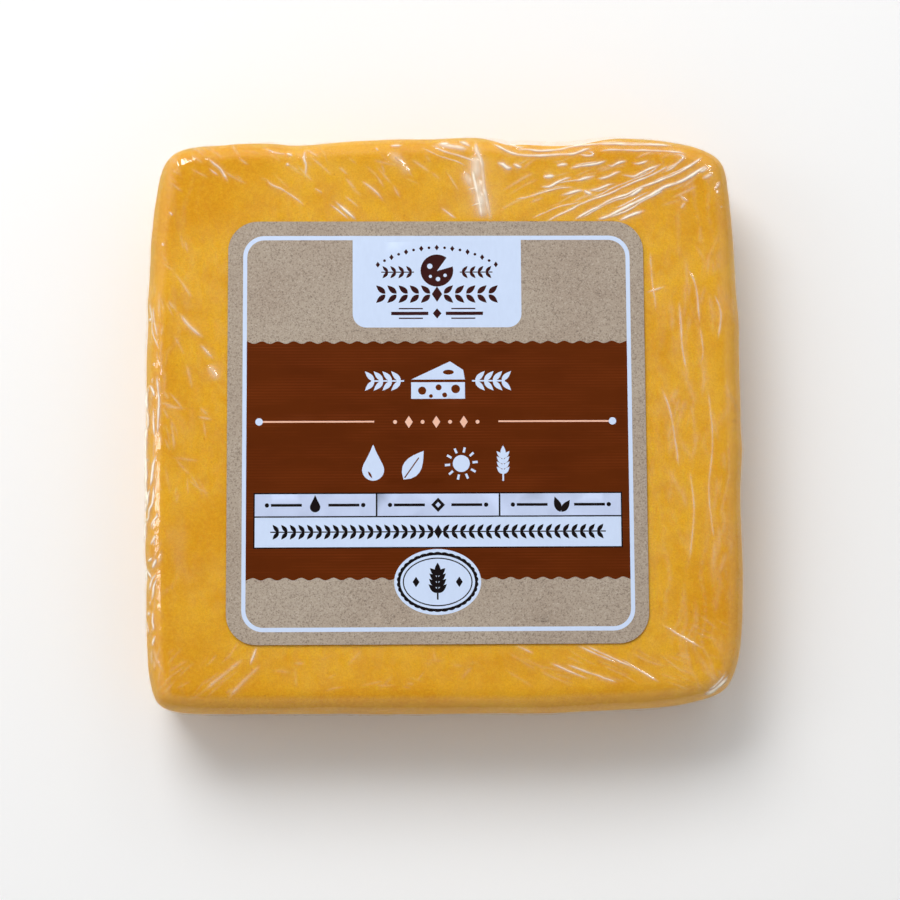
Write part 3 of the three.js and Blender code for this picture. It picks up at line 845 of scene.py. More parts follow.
def build_film():
    o, nrm, s = columns(COLUMNS, even)
    verts, edges = plan_points(o, nrm)
    v, e, f, owners, _, _ = delaunay_2d_cdt([Vector(p) for p in verts], edges,
                                            [list(range(COLUMNS))], 1, 1e-4, True)
    xy = np.array([(p.x, p.y) for p in v])
    rim_index = {}
    for k, own in enumerate(owners):
        for q in own:
            if q < COLUMNS:
                rim_index[q] = k
    d, near = outline_distance(xy)
    d, near = inset_along_rings(xy, d, near)
    inset = np.clip(TOP_ROUND - d, 0, TOP_ROUND - 1e-3)
    drop_z = TOP_ROUND - np.sqrt(TOP_ROUND ** 2 - inset ** 2)
    tilt = inset / TOP_ROUND
    out = DENSE_NORMAL[near]
    top_xyz = np.column_stack([xy, TOP - drop_z])
    top_n = np.column_stack([out * tilt[:, None], np.sqrt(1 - tilt ** 2)])
    top_s = near * PERIMETER / len(DENSE)
    # the side and underside, ring by ring from the rim down
    rows = []
    start = math.asin(1 - LIP / TOP_ROUND)
    z_rim = TOP - TOP_ROUND * (1 - math.cos(start))
    bottom = FILM_BOTTOM

    def add(inset_by, z, zone):
        rows.append((np.column_stack([o - nrm * inset_by, np.full(COLUMNS, z)]), s, zone))

    add(LIP, z_rim, 1)
    for k in range(1, 7):
        a = start + (math.pi / 2 - start) * k / 6
        add(TOP_ROUND * (1 - math.sin(a)), TOP - TOP_ROUND * (1 - math.cos(a)), 1)
    z_hi, z_lo = TOP - TOP_ROUND, bottom + BOTTOM_ROUND
    for k in range(1, 18):
        t = k / 17
        add(0.30 * t * t, z_hi + (z_lo - z_hi) * t, 2)
    for k in range(1, 9):
        a = k / 8 * math.pi / 2
        add(0.30 + BOTTOM_ROUND * (1 - math.cos(a)), z_lo - BOTTOM_ROUND * math.sin(a), 3)
    foot = o - nrm * (0.30 + BOTTOM_ROUND)
    low = under_label(foot - np.array([LABEL_X, LABEL_Y]), 30.0, 30.0)
    for k in range(1, 11):
        t = k / 10
        rows.append((np.column_stack([foot * (1 - t) + low * t, np.full(COLUMNS, bottom)]), s, 4))
    centre = np.array([LABEL_X, LABEL_Y])
    for every, scale in ((2, 0.96), (4, 0.90), (8, 0.80), (16, 0.66), (32, 0.46), (64, 0.22)):
        rows.append((np.column_stack([(centre + (low - centre) * scale)[::every],
                                      np.full(COLUMNS // every, bottom)]), s[::every], 4))
    normals = row_normals(rows)
    low_xyz, low_s, _, low_faces = join_rows(rows)
    low_faces = low_faces[:-2] + low_faces[-1:]          # no cap over the first ring
    top_relief, top_haze_and_painted_highlight, top_air = film_relief(top_xyz, top_s)
    low_relief, low_haze_and_painted_highlight, low_air = film_relief(low_xyz, low_s)
    low_relief[:COLUMNS] = 0.0
    moved_low = low_xyz + normals * low_relief[:, None]
    moved_low[:, 2] = np.maximum(moved_low[:, 2], FILM_BOTTOM - 0.08)
    moved_top = top_xyz + top_n * top_relief[:, None]
    # the two parts share the rim
    share = np.array([rim_index[q] for q in range(COLUMNS)])
    fade = smoothstep(0, 6, np.arange(len(rows)))
    offset = moved_top[share] - low_xyz[:COLUMNS]
    for r in range(0, 6):
        rise = (1 - r / 6.0) ** 2
        moved_low[r * COLUMNS:(r + 1) * COLUMNS] += offset * rise
    base = len(moved_top)
    table = np.arange(len(moved_low)) + base - COLUMNS
    table[:COLUMNS] = share
    all_xyz = np.vstack([moved_top, moved_low[COLUMNS:]])
    faces = []
    for tri in inside_ring(f, share.tolist()):
        a, b, c = (v[k] for k in tri)
        area2 = (b.x - a.x) * (c.y - a.y) - (b.y - a.y) * (c.x - a.x)
        faces.append(tuple(tri) if area2 > -1e-7 else tuple(reversed(tri)))
    faces += [tuple(int(table[k]) for k in face) for face in low_faces]
    shell = BVHTree.FromPolygons([Vector(q) for q in all_xyz], faces)
    haze_and_painted_highlight = [top_haze_and_painted_highlight, low_haze_and_painted_highlight[COLUMNS:]]
    air = [top_air, low_air[COLUMNS:]]
    for points, more, flap_haze_and_painted_highlight, flap_air in build_flaps():
        at = len(all_xyz)
        all_xyz = np.vstack([all_xyz, points])
        faces += [tuple(at + k for k in face) for face in more]
        haze_and_painted_highlight.append(flap_haze_and_painted_highlight)
        air.append(flap_air)
    obj = new_object("film_sheet", all_xyz, faces)
    set_attribute(obj.data, "haze_and_painted_highlight", np.concatenate(haze_and_painted_highlight))
    set_attribute(obj.data, "air", np.concatenate(air))
    return obj, shell


def foot_height(inset):
    """Height of the sheet's underside where it rounds up to the side."""
    u = np.clip((inset - 0.30) / BOTTOM_ROUND, 0, 1)
    return FILM_BOTTOM + BOTTOM_ROUND * (1 - np.sqrt(np.clip(1 - (1 - u) ** 2, 0, 1)))


def outline_run(start, stop, inset):
    """Points along the outline from the point nearest start to the one
    nearest stop, counter-clockwise, moved in by inset."""
    a = int(((DENSE - start) ** 2).sum(1).argmin())
    b = int(((DENSE - stop) ** 2).sum(1).argmin())
    count = (b - a) % len(DENSE)
    index = (a + np.arange(0, count, 8)) % len(DENSE)
    return DENSE[index] - DENSE_NORMAL[index] * inset


def free_edge(points, seed, sway):
    """A loose edge through points, with small waves."""
    path = spline(points, 0.8)
    rng = np.random.default_rng(seed)
    tangent = np.gradient(path, axis=0)
    tangent /= np.linalg.norm(tangent, axis=1)[:, None] + 1e-12
    run = np.concatenate([[0], np.cumsum(np.hypot(*np.diff(path, axis=0).T))])
    wave = np.zeros(len(path))
    for length in (23.0, 11.0, 5.3, 2.6):
        wave += sway * (length / 23.0) ** 0.8 * math.sin(1) * np.sin(
            2 * math.pi * run / length + rng.uniform(0, 6.28)) * rng.uniform(0.6, 1.2)
    wave *= smoothstep(0, 4, run) * smoothstep(0, 4, run[-1] - run)
    return path + np.stack([-tangent[:, 1], tangent[:, 0]], 1) * wave[:, None]


def flap(fixed, loose, gap, fan, seed):
    """One closed thin layer below the sheet's underside. It grows out of the
    sheet along fixed and ends at loose; fan is the point its pleats run from.
    Returns points, faces, clouding with a painted highlight along the loose edge, and air."""
    rng = np.random.default_rng(seed)
    border = np.vstack([fixed, loose])
    turn = (border[:, 0] * np.roll(border[:, 1], -1) - border[:, 1] * np.roll(border[:, 0], -1)).sum()
    if turn < 0:
        border = border[::-1]
    verts = [Vector(p) for p in border]
    low, high = border.min(0), border.max(0)
    step = 1.25
    count_x, count_y = int((high[0] - low[0]) / step), int((high[1] - low[1]) / step)
    grid = np.array([(low[0] + (i + 0.5 * (j % 2)) * step, low[1] + j * step)
                     for j in range(count_y + 1) for i in range(count_x + 1)])
    grid += rng.uniform(-0.15, 0.15, grid.shape)
    ax, ay = border.T
    bx, by = np.roll(border, -1, 0).T
    crossing = ((ay[None] > grid[:, 1:2]) != (by[None] > grid[:, 1:2])) & (
        grid[:, 0:1] < (bx - ax)[None] * (grid[:, 1:2] - ay[None]) / np.where(np.abs(by - ay) > 1e-9, by - ay, 1e-9)[None] + ax[None])
    grid = grid[crossing.sum(1) % 2 == 1]
    clear_of = np.sqrt(((grid[:, None] - border[None]) ** 2).sum(2)).min(1)
    verts += [Vector(p) for p in grid[clear_of > 0.45]]
    v, _, f, _, _, _ = delaunay_2d_cdt(verts, [], [list(range(len(border)))], 1, 1e-4, True)
    xy = np.array([(p.x, p.y) for p in v])
    d, near = outline_distance(xy)
    inset, near = inset_along_rings(xy, d, near)
    edge_d = np.sqrt(((xy[:, None] - loose[None]) ** 2).sum(2)).min(1)
    away = xy - np.array(fan)
    angle = np.arctan2(away[:, 1], away[:, 0])
    radius = np.hypot(*away.T)
    flat = np.column_stack([xy, np.zeros(len(xy))])
    warp = fractal(flat * 0.06 + seed, seed + 1, 2)
    around = np.column_stack([(angle + 0.06 * warp) * 14.0, radius * 0.03, np.full(len(xy), seed * 1.3)])
    pleats = ridged(around, seed + 2, 4.2) ** 1.5
    fine = ridged(around * [2.3, 1.5, 1] + 5, seed + 3, 4.5) ** 1.5
    grow = smoothstep(1.2, 6.0, inset)
    z = (foot_height(inset) - 0.012 - gap * grow
         - grow * (0.022 * pleats + 0.014 * fine) + 0.012 * grow * warp)
    z -= 0.014 * np.exp(-edge_d / 0.8) * grow
    n = len(xy)
    under = np.column_stack([xy, z])
    over = np.column_stack([xy, z + 0.012 + 0.028 * grow])
    faces = []
    count = {}
    for tri in f:
        a, b, c = (v[k] for k in tri)
        area2 = (b.x - a.x) * (c.y - a.y) - (b.y - a.y) * (c.x - a.x)
        t = tuple(tri) if area2 > -1e-7 else tuple(reversed(tri))
        faces.append(tuple(n + k for k in t))
        faces.append(tuple(reversed(t)))
        for a, b in ((t[0], t[1]), (t[1], t[2]), (t[2], t[0])):
            count[(a, b)] = True
    for a, b in count:
        if (b, a) not in count:
            faces.append((a, b, n + b, n + a))
    # clouding: a painted highlight as a bright line along the loose edge, plus the film's own clouding over its pleats
    haze_and_painted_highlight = (0.34 * np.exp(-(edge_d / 0.40) ** 2) + 0.03 * np.exp(-edge_d / 3.0)
            + 0.07 * pleats + 0.05 * fine) * smoothstep(1.0, 3.0, inset)
    air = np.clip(0.2 + 0.3 * warp, 0, 1)
    return (np.vstack([under, over]), faces, np.clip(np.tile(haze_and_painted_highlight, 2), 0, 1), np.tile(air, 2))


def build_flaps():
    """The sheet's two tucked ends and, over them, its outer flap."""
    right = flap(outline_run((54, -41), (54, 42), 1.8),
                 free_edge([(49.5, 45), (43, 37.5), (35.5, 29), (28, 20.5), (27, 10), (26.4, 0), (27.2, -10),
                            (28.4, -20), (36, -28.5), (43, -37), (49.5, -44)], 21, 0.45),
                 0.13, (70, 0), 211)
    left = flap(outline_run((-54, 43), (-54, -42), 1.8),
                free_edge([(-49.5, -45), (-43, -37), (-36.5, -29.5), (-30, -22), (-29.4, -11), (-28.8, 0), (-29.6, 11),
                           (-30.6, 22), (-37, 30), (-43.5, 38), (-49.5, 45.5)], 22, 0.45),
                0.13, (-70, 0), 221)
    outer = flap(outline_run((53.9, -36), (-53.9, -35.4), 1.8),
                 free_edge([(-52.4, -35.6), (-38, -34.6), (-20, -36.2), (0, -34.8), (21, -35.9), (38, -34.2), (52.4, -35.8)], 23, 0.6),
                 0.25, (0, 78), 231)
    return [right, left, outer]


def keep_inside(points, shell, clearance):
    """Moves points that come closer than clearance to the film, or through
    it, back inside."""
    out = points.copy()
    for k, q in enumerate(points):
        hit, normal, _, _ = shell.find_nearest(Vector(q))
        depth = (Vector(q) - hit).dot(normal)
        if depth > -clearance:
            out[k] -= np.array(normal) * (depth + clearance)
    return out


def build_cheese(shell):
    rows = shell_rows(704, even, 0.07, TOP - 0.07, CHEESE_BOTTOM, 22, 9, 12, 6, 8)
    normals = row_normals(rows)
    xyz, s, zone, faces = join_rows(rows)
    x, y, z = xyz.T
    p = np.column_stack([x, y, z])
    swell = fractal(p * 0.05 + 4.0, 71, 3)
    fine = fractal(p * 0.45 + 8.0, 72, 3)
    dents = smoothstep(0.45, 0.9, perlin(p * 0.16 + 2.0, 73))
    edge = smoothstep(TOP - 0.4, TOP - 2.5, z)
    hollow = np.clip(ring_noise(s, z, 0.03, 0.04, 74, 0.0, 2) + 0.1, 0, 1)
    back = smoothstep(50.5, 53.0, y) * smoothstep(6, 14, x) * smoothstep(36, 22, x)
    relief = (slack(xyz, s) - 0.05 - 0.03 * np.abs(swell) + 0.012 * fine - 0.06 * dents
              - edge * (0.03 + 0.22 * hollow + 0.9 * back))
    moved = xyz + normals * relief[:, None]
    moved = keep_inside(moved, shell, 0.045)
    obj = new_object("cheese_slab", moved, faces)
    # painted shading: an olive, darker tint from the rounded top edge down the sides, laid on most heavily where the
    # edge faces the key light (upper left)
    _, at = outline_distance(moved[:, :2])
    lit = np.clip(DENSE_NORMAL[at] @ np.array([-0.6, 0.8]), 0, 1)
    set_attribute(obj.data, "rim", smoothstep(TOP - 0.25, TOP - 2.4, z) * (0.26 + 0.60 * lit))
    set_attribute(obj.data, "tone", pale_patches(x, y, z) + 0.12 * fractal(p * 0.16 + 1.0, 75, 3))
    return obj


# ------------------------------------------------------------ materials ----
def lin(r, g, b):
    def one(v):
        v /= 255.0
        return v / 12.92 if v <= 0.04045 else ((v + 0.055) / 1.055) ** 2.4
    return (one(r), one(g), one(b), 1.0)


class Nodes:
    """Short way to write a node tree."""

    def __init__(self, name):
        self.mat = bpy.data.materials.new(name)
        self.mat.use_nodes = True
        self.tree = self.mat.node_tree
        self.tree.nodes.clear()
        self.out = self.tree.nodes.new("ShaderNodeOutputMaterial")

    def add(self, kind, inputs=None, **props):
        node = self.tree.nodes.new(kind)
        for key, value in props.items():
            setattr(node, key, value)
        for key, value in (inputs or {}).items():
            socket = node.inputs[key]
            if isinstance(value, bpy.types.NodeSocket):
                self.tree.links.new(value, socket)
            else:
                socket.default_value = value
        return node

    def math(self, op, a, b=None, clamp=False):
        ins = {0: a}
        if b is not None:
            ins[1] = b
        return self.add("ShaderNodeMath", ins, operation=op, use_clamp=clamp).outputs[0]

    def mix(self, fac, a, b, blend="MIX"):
        node = self.add("ShaderNodeMix", data_type="RGBA", blend_type=blend)
        for index, value in ((0, fac), (6, a), (7, b)):
            if isinstance(value, bpy.types.NodeSocket):
                self.tree.links.new(value, node.inputs[index])
            else:
                node.inputs[index].default_value = value
        return node.outputs[2]

    def ramp(self, fac, stops):
        node = self.add("ShaderNodeValToRGB", {"Fac": fac})
        while len(node.color_ramp.elements) < len(stops):
            node.color_ramp.elements.new(0.5)
        for element, (pos, value) in zip(node.color_ramp.elements, stops):
            element.position = pos
            element.color = value if len(value) == 4 else (*value, 1)
        return node.outputs["Color"]

    def noise(self, scale, detail=2.0, rough=0.5, vector=None, dims="3D", distortion=0.0):
        ins = {"Scale": scale, "Detail": detail, "Roughness": rough, "Distortion": distortion}
        if vector is not None:
            ins["Vector"] = vector
        return self.add("ShaderNodeTexNoise", ins, noise_dimensions=dims).outputs[0]

    def place(self, scale=(1, 1, 1)):
        coord = self.add("ShaderNodeTexCoord").outputs["Object"]
        return self.add("ShaderNodeMapping", {"Vector": coord, "Scale": scale}).outputs[0]

    def surface(self, socket):
        self.tree.links.new(socket, self.out.inputs["Surface"])
        return self.mat


def grey(v):
    return (v, v, v, 1)


def cheese_material():
    n = Nodes("cheese_cut")
    pos = n.place()
    tone = n.add("ShaderNodeAttribute", attribute_name="tone").outputs["Fac"]
    broad = n.noise(42, 4, 0.55, pos)
    mid = n.noise(210, 4, 0.6, pos)
    fine = n.noise(1500, 3, 0.6, pos)
    base = n.mix(n.ramp(tone, [(0.05, grey(0)), (0.95, grey(1))]), lin(226, 158, 3), lin(240, 184, 34))
    # painted edge shading: the top edge and sides are tinted darker and olive, more so on the side that faces the key
    # light
    rim = n.add("ShaderNodeAttribute", attribute_name="rim").outputs["Fac"]
    base = n.mix(rim, base, lin(178, 148, 18))
    base = n.mix(n.ramp(broad, [(0.40, grey(0)), (0.62, grey(0.55))]), base, lin(238, 182, 34))
    base = n.mix(n.ramp(mid, [(0.42, grey(0.0)), (0.64, grey(0.50))]), base, lin(218, 148, 2))
    base = n.mix(n.ramp(fine, [(0.42, grey(0.0)), (0.66, grey(0.34))]), base, lin(244, 194, 44))
    grain = n.noise(3400, 2, 0.6, pos)
    base = n.mix(n.ramp(grain, [(0.42, grey(0.0)), (0.62, grey(0.38))]), base, lin(210, 142, 4))
    specks = n.add("ShaderNodeTexVoronoi", {"Vector": pos, "Scale": 260.0}, feature="F1").outputs["Distance"]
    base = n.mix(n.ramp(specks, [(0.02, grey(0.35)), (0.07, grey(0))]), base, lin(176, 104, 24))
    height = n.math("ADD", n.math("MULTIPLY", mid, 0.6), n.math("MULTIPLY", fine, 0.4))
    bump = n.add("ShaderNodeBump", {"Height": height, "Strength": 0.35, "Distance": 0.0002}).outputs[0]
    p = n.add("ShaderNodeBsdfPrincipled", {
        "Base Color": base,
        "Roughness": n.ramp(mid, [(0.3, grey(0.36)), (0.7, grey(0.52))]),
        "IOR": 1.42, "Specular IOR Level": 0.16,
        "Subsurface Weight": 0.28, "Subsurface Radius": (1.0, 0.60, 0.25),
        "Subsurface Scale": 0.0014, "Normal": bump})
    return n.surface(p.outputs[0])


def film_material():
    n = Nodes("clear_film")
    pos = n.place()
    haze_and_painted_highlight = n.add("ShaderNodeAttribute", attribute_name="haze_and_painted_highlight").outputs["Fac"]
    air = n.add("ShaderNodeAttribute", attribute_name="air").outputs["Fac"]
    wrinkle = n.noise(620, 5, 0.62, n.place((1.0, 0.55, 1.0)), distortion=0.8)
    fine = n.noise(2600, 3, 0.6, pos)
    height = n.math("ADD", n.math("MULTIPLY", wrinkle, 0.8), n.math("MULTIPLY", fine, 0.2))
    bump = n.add("ShaderNodeBump", {"Height": height, "Strength": 0.14, "Distance": 0.00020}).outputs[0]
    clear = n.add("ShaderNodeBsdfTransparent", {"Color": (1.0, 0.995, 0.985, 1)}).outputs[0]
    gloss = n.add("ShaderNodeBsdfGlossy", {"Color": (1, 1, 1, 1), "Roughness": 0.045, "Normal": bump}).outputs[0]
    facing = n.add("ShaderNodeLayerWeight", {"Blend": 0.5, "Normal": bump}).outputs["Facing"]
    fac = n.math("ADD", n.math("MULTIPLY", n.math("POWER", facing, 5.0), 0.12), 0.062, clamp=True)
    sheet = n.add("ShaderNodeMixShader", {0: fac, 1: clear, 2: gloss}).outputs[0]
    # milky diffuse layer: the film's real clouding where air keeps it off the cheese, and a painted highlight along the
    # crease crests and flap edges
    milk_and_painted_highlight = n.add("ShaderNodeBsdfDiffuse", {"Color": (1.0, 0.955, 0.84, 1), "Roughness": 0.3}).outputs[0]
    veil_and_painted_highlight = n.math("ADD", n.math("MULTIPLY", haze_and_painted_highlight, 1.05),
                  n.math("MULTIPLY", air, n.ramp(wrinkle, [(0.35, grey(0.002)), (0.75, grey(0.050))])), clamp=True)
    veil_and_painted_highlight = n.math("MINIMUM", veil_and_painted_highlight, 0.92)
    whole = n.add("ShaderNodeMixShader", {0: veil_and_painted_highlight, 1: sheet, 2: milk_and_painted_highlight}).outputs[0]
    return n.surface(whole)


def paper_nodes(name):
    n = Nodes(name)
    pos = n.place()
    fibre = n.noise(1500, 4, 0.65, n.place((1.0, 0.35, 1.0)))
    fine = n.noise(5200, 2, 0.5, pos)
    return n, pos, fibre, fine


def paper_surface(n, colour, fibre, fine, roughness, specular, strength=0.12):
    height = n.math("ADD", n.math("MULTIPLY", fibre, 0.6), n.math("MULTIPLY", fine, 0.4))
    bump = n.add("ShaderNodeBump", {"Height": height, "Strength": strength, "Distance": 0.00008}).outputs[0]
    p = n.add("ShaderNodeBsdfPrincipled", {
        "Base Color": colour, "Roughness": n.ramp(fibre, [(0.3, grey(roughness - 0.05)), (0.7, grey(roughness + 0.06))]),
        "Specular IOR Level": specular, "Normal": bump})
    return n.surface(p.outputs[0])


def kraft_material():
    n, pos, fibre, fine = paper_nodes("kraft_print")
    base = n.mix(n.ramp(n.noise(60, 3, 0.5, pos), [(0.35, grey(0)), (0.65, grey(1))]),
                 lin(170, 154, 138), lin(178, 164, 148))
    dark = n.noise(3600, 2.5, 0.7, pos)
    base = n.mix(n.ramp(dark, [(0.50, grey(0)), (0.66, grey(0.75))]), base, lin(108, 92, 80))
    light = n.noise(2900, 2.5, 0.7, n.place((1, 1, 1)), distortion=0.4)
    base = n.mix(n.ramp(light, [(0.54, grey(0)), (0.72, grey(0.6))]), base, lin(208, 196, 182))
    hairs = n.noise(900, 5, 0.7, n.place((0.35, 1.6, 1.0)), distortion=1.5)
    base = n.mix(n.ramp(hairs, [(0.64, grey(0)), (0.70, grey(0.5))]), base, lin(138, 118, 100))
    return paper_surface(n, base, fibre, fine, 0.62, 0.22)


def white_material(name, colour, dirt):
    n, pos, fibre, fine = paper_nodes(name)
    base = n.mix(n.ramp(fibre, [(0.35, grey(0)), (0.75, grey(0.35))]), colour, dirt)
    return paper_surface(n, base, fibre, fine, 0.55, 0.25)


def ink_material(name, colour, other, lines=0.0):
    n, pos, fibre, fine = paper_nodes(name)
    base = n.mix(n.ramp(n.noise(90, 3, 0.5, pos), [(0.35, grey(0)), (0.70, grey(1))]), colour, other)
    if lines:
        # the faint level lines that a printing head leaves
        sep = n.add("ShaderNodeSeparateXYZ", {0: n.add("ShaderNodeTexCoord").outputs["Object"]})
        wobble = n.math("MULTIPLY", n.noise(140, 2, 0.5, pos), 0.9)
        wave = n.math("SINE", n.math("ADD", n.math("MULTIPLY", sep.outputs[1], 2 * math.pi / 0.00052), wobble))
        fade = n.ramp(n.noise(240, 3, 0.6, n.place((0.25, 1.4, 1))), [(0.4, grey(0)), (0.65, grey(1))])
        fac = n.math("MULTIPLY", n.math("MULTIPLY", n.math("ADD", wave, 1.0), 0.5 * lines), fade)
        base = n.mix(fac, base, lin(132, 58, 22))
    return paper_surface(n, base, fibre, fine, 0.55, 0.06, 0.08)


# ---------------------------------------------------------------- label ----
def rounded(x0, y0, x1, y1, r, steps=8, corners=(1, 1, 1, 1)):
    """Rounded rectangle; corners are lower right, upper right, upper left and
    lower left, 1 where the corner is rounded."""
    pts = []
    for (cx, cy, a), on in zip(((x1 - r, y0 + r, -90), (x1 - r, y1 - r, 0), (x0 + r, y1 - r, 90),
                                (x0 + r, y0 + r, 180)), corners):
        if on:
            for k in range(steps + 1):
                t = math.radians(a + 90 * k / steps)
                pts.append((cx + r * math.cos(t), cy + r * math.sin(t)))
        else:
            sx = x1 if a in (-90, 0) else x0
            sy = y0 if a in (-90, 180) else y1
            pts.append((sx, sy))
    return pts


def oval(cx, cy, rx, ry, steps=28):
    return [(cx + rx * math.cos(2 * math.pi * k / steps), cy + ry * math.sin(2 * math.pi * k / steps))
            for k in range(steps)]


def leaf(cx, cy, length, width, angle, steps=7):
    """Pointed oval whose stem end is at cx, cy."""
    c, s = math.cos(math.radians(angle)), math.sin(math.radians(angle))
    side = []
    for k in range(steps + 1):
        t = k / steps
        side.append((length * t, width / 2 * math.sin(math.pi * t ** 0.8)))
    pts = side + [(u, -v) for u, v in reversed(side[1:-1])]
    return [(cx + u * c - v * s, cy + u * s + v * c) for u, v in pts]


def bar(x0, y0, x1, y1, width):
    dx, dy = x1 - x0, y1 - y0
    d = math.hypot(dx, dy)
    nx, ny = -dy / d * width / 2, dx / d * width / 2
    return [(x0 - nx, y0 - ny), (x1 - nx, y1 - ny), (x1 + nx, y1 + ny), (x0 + nx, y0 + ny)]


def diamond(cx, cy, rx, ry):
    return [(cx + rx, cy), (cx, cy + ry), (cx - rx, cy), (cx, cy - ry)]


def drop(cx, cy, r, steps=20):
    """Falling drop: round below and pointed above."""
    pts = []
    for k in range(steps):
        t = 2 * math.pi * k / steps
        lift = max(0.0, math.sin(t)) ** 3
        pts.append((cx + r * math.cos(t) * (1 - 0.75 * lift), cy + r * math.sin(t) + 1.3 * r * lift))
    return pts


KRAFT, WHITE, BROWN, BLACK, RULE, MAROON, CELL = range(7)


def label_print():
    """Everything printed on the label, in the order it covers what is below:
    (outline points, ink). Millimetres from the label's centre."""
    art = []

    def put(ink, pts):
        art.append((pts, ink))

    put(KRAFT, rounded(-38.1, -38.8, 38.1, 38.8, 5.5, 12))
    # border line with the tab hanging from it
    put(WHITE, rounded(-35.35, -36.5, 35.6, 36.1, 3.9, 10))
    put(KRAFT, rounded(-34.6, -35.72, 34.85, 35.3, 3.2, 10))
    put(WHITE, rounded(-15.3, 19.0, 15.6, 35.5, 2.5, 7, (1, 0, 0, 1)))
    # brown band with wavy edges
    wave = []
    x0, x1 = -34.75, 35.0
    steps = 24 * 8
    for k in range(steps + 1):
        x = x0 + (x1 - x0) * k / steps
        wave.append((x, -27.0 - 0.24 * math.cos(2 * math.pi * 24 * k / steps)))
    for k in range(steps, -1, -1):
        x = x0 + (x1 - x0) * k / steps
        wave.append((x, 16.25 + 0.24 * math.cos(2 * math.pi * 24 * k / steps)))
    put(BROWN, wave)
    # the border line again where the band's ends lie on it
    put(WHITE, [(-35.35, -28.2), (-34.6, -28.2), (-34.6, 17.4), (-35.35, 17.4)])
    put(WHITE, [(34.85, -28.2), (35.6, -28.2), (35.6, 17.4), (34.85, 17.4)])

    # tab: a wheel of cheese with one slice out, between sprigs, under dots
    cx, cy = 0.15, 29.6
    put(MAROON, oval(cx, cy, 3.0, 3.0, 36))
    put(WHITE, [(cx, cy - 0.1), (cx + 3.4, cy + 0.9), (cx + 2.5, cy + 3.4)])
    for hx, hy, hr in ((-1.3, 0.8, 0.5), (0.2, -1.6, 0.42), (-1.2, -1.1, 0.3), (1.5, -0.9, 0.33)):
        put(WHITE, oval(cx + hx, cy + hy, hr, hr, 14))
    for side in (-1, 1):
        for k in range(4):
            bx = cx + side * (4.6 + 1.45 * k)
            for up in (-1, 1):
                put(MAROON, leaf(bx, 29.3, 1.55, 0.62, (90 - 90 * side) + side * up * 48))
        put(MAROON, bar(cx + side * 4.2, 29.3, cx + side * 10.2, 29.3, 0.2))
    for k in range(-8, 9):
        a = math.radians(90 - k * 4.1)
        px, py = cx + 20.0 * math.cos(a) * 1.0, 13.9 + 20.0 * math.sin(a)
        if k % 2:
            put(MAROON, oval(px, py, 0.26, 0.26, 12))
        else:
            put(MAROON, diamond(px, py, 0.40, 0.55))
    # a bold leaf chain and a rule with a diamond
    for k in range(-5, 6):
        px = cx + 2.05 * k
        if k == 0:
            put(MAROON, diamond(px, 25.2, 0.95, 1.45))
        else:
            flip = 180 if k < 0 else 0
            sgn = -1 if k < 0 else 1
            put(MAROON, leaf(px - 0.8 * sgn, 25.3, 2.3, 1.0, flip + sgn * 42))
            put(MAROON, leaf(px - 0.8 * sgn, 25.1, 2.3, 1.0, flip - sgn * 42))
    for side in (-1, 1):
        put(MAROON, bar(cx + side * 1.6, 21.6, cx + side * 8.4, 21.6, 0.62))
        put(MAROON, bar(cx + side * 2.6, 22.5, cx + side * 7.0, 22.5, 0.24))
        put(MAROON, bar(cx + side * 2.6, 20.7, cx + side * 7.0, 20.7, 0.24))
    put(MAROON, diamond(cx, 21.6, 0.8, 0.95))

    # band: a wedge between two sprigs
    wx, wy = 0.25, 9.2
    put(WHITE, [(wx - 4.9, wy + 0.15), (wx + 2.2, wy + 3.5), (wx + 4.6, wy + 1.9), (wx + 4.9, wy + 0.15)])
    put(WHITE, [(wx - 4.9, wy - 3.4), (wx + 4.9, wy - 3.4), (wx + 4.9, wy - 0.35), (wx - 4.9, wy - 0.35)])
    for hx, hy, hr in ((-2.9, -1.9, 0.75), (0.1, -1.3, 0.55), (1.2, -2.7, 0.45), (3.2, -1.6, 0.8), (-1.3, -2.9, 0.35)):
        put(BROWN, oval(wx + hx, wy + hy, hr, hr, 18))
    put(BROWN, oval(wx + 1.9, wy + 1.5, 1.0, 0.45, 18))
    for side in (-1, 1):
        put(WHITE, bar(wx + side * 6.2, wy - 0.1, wx + side * 12.2, wy - 0.1, 0.28))
        for k in range(4):
            bx = wx + side * (6.8 + 1.6 * k)
            for up in (-1, 1):
                put(WHITE, leaf(bx, wy - 0.1, 2.5, 0.95, (90 - 90 * side) + side * up * 46))
    # rules with end dots, and the small row between them
    put(RULE, bar(-32.3, 1.63, -11.4, 1.63, 0.30))
    put(RULE, bar(11.2, 1.63, 32.0, 1.63, 0.30))
    put(WHITE, oval(-32.3, 1.63, 0.68, 0.68, 18))
    put(WHITE, oval(32.0, 1.63, 0.68, 0.68, 18))
    for k in range(-3, 4):
        if k % 2:
            put(RULE, oval(-0.1 + 2.5 * k, 1.55, 0.36, 0.36, 12))
        else:
            put(RULE, diamond(-0.1 + 2.5 * k, 1.55, 0.72, 1.12))
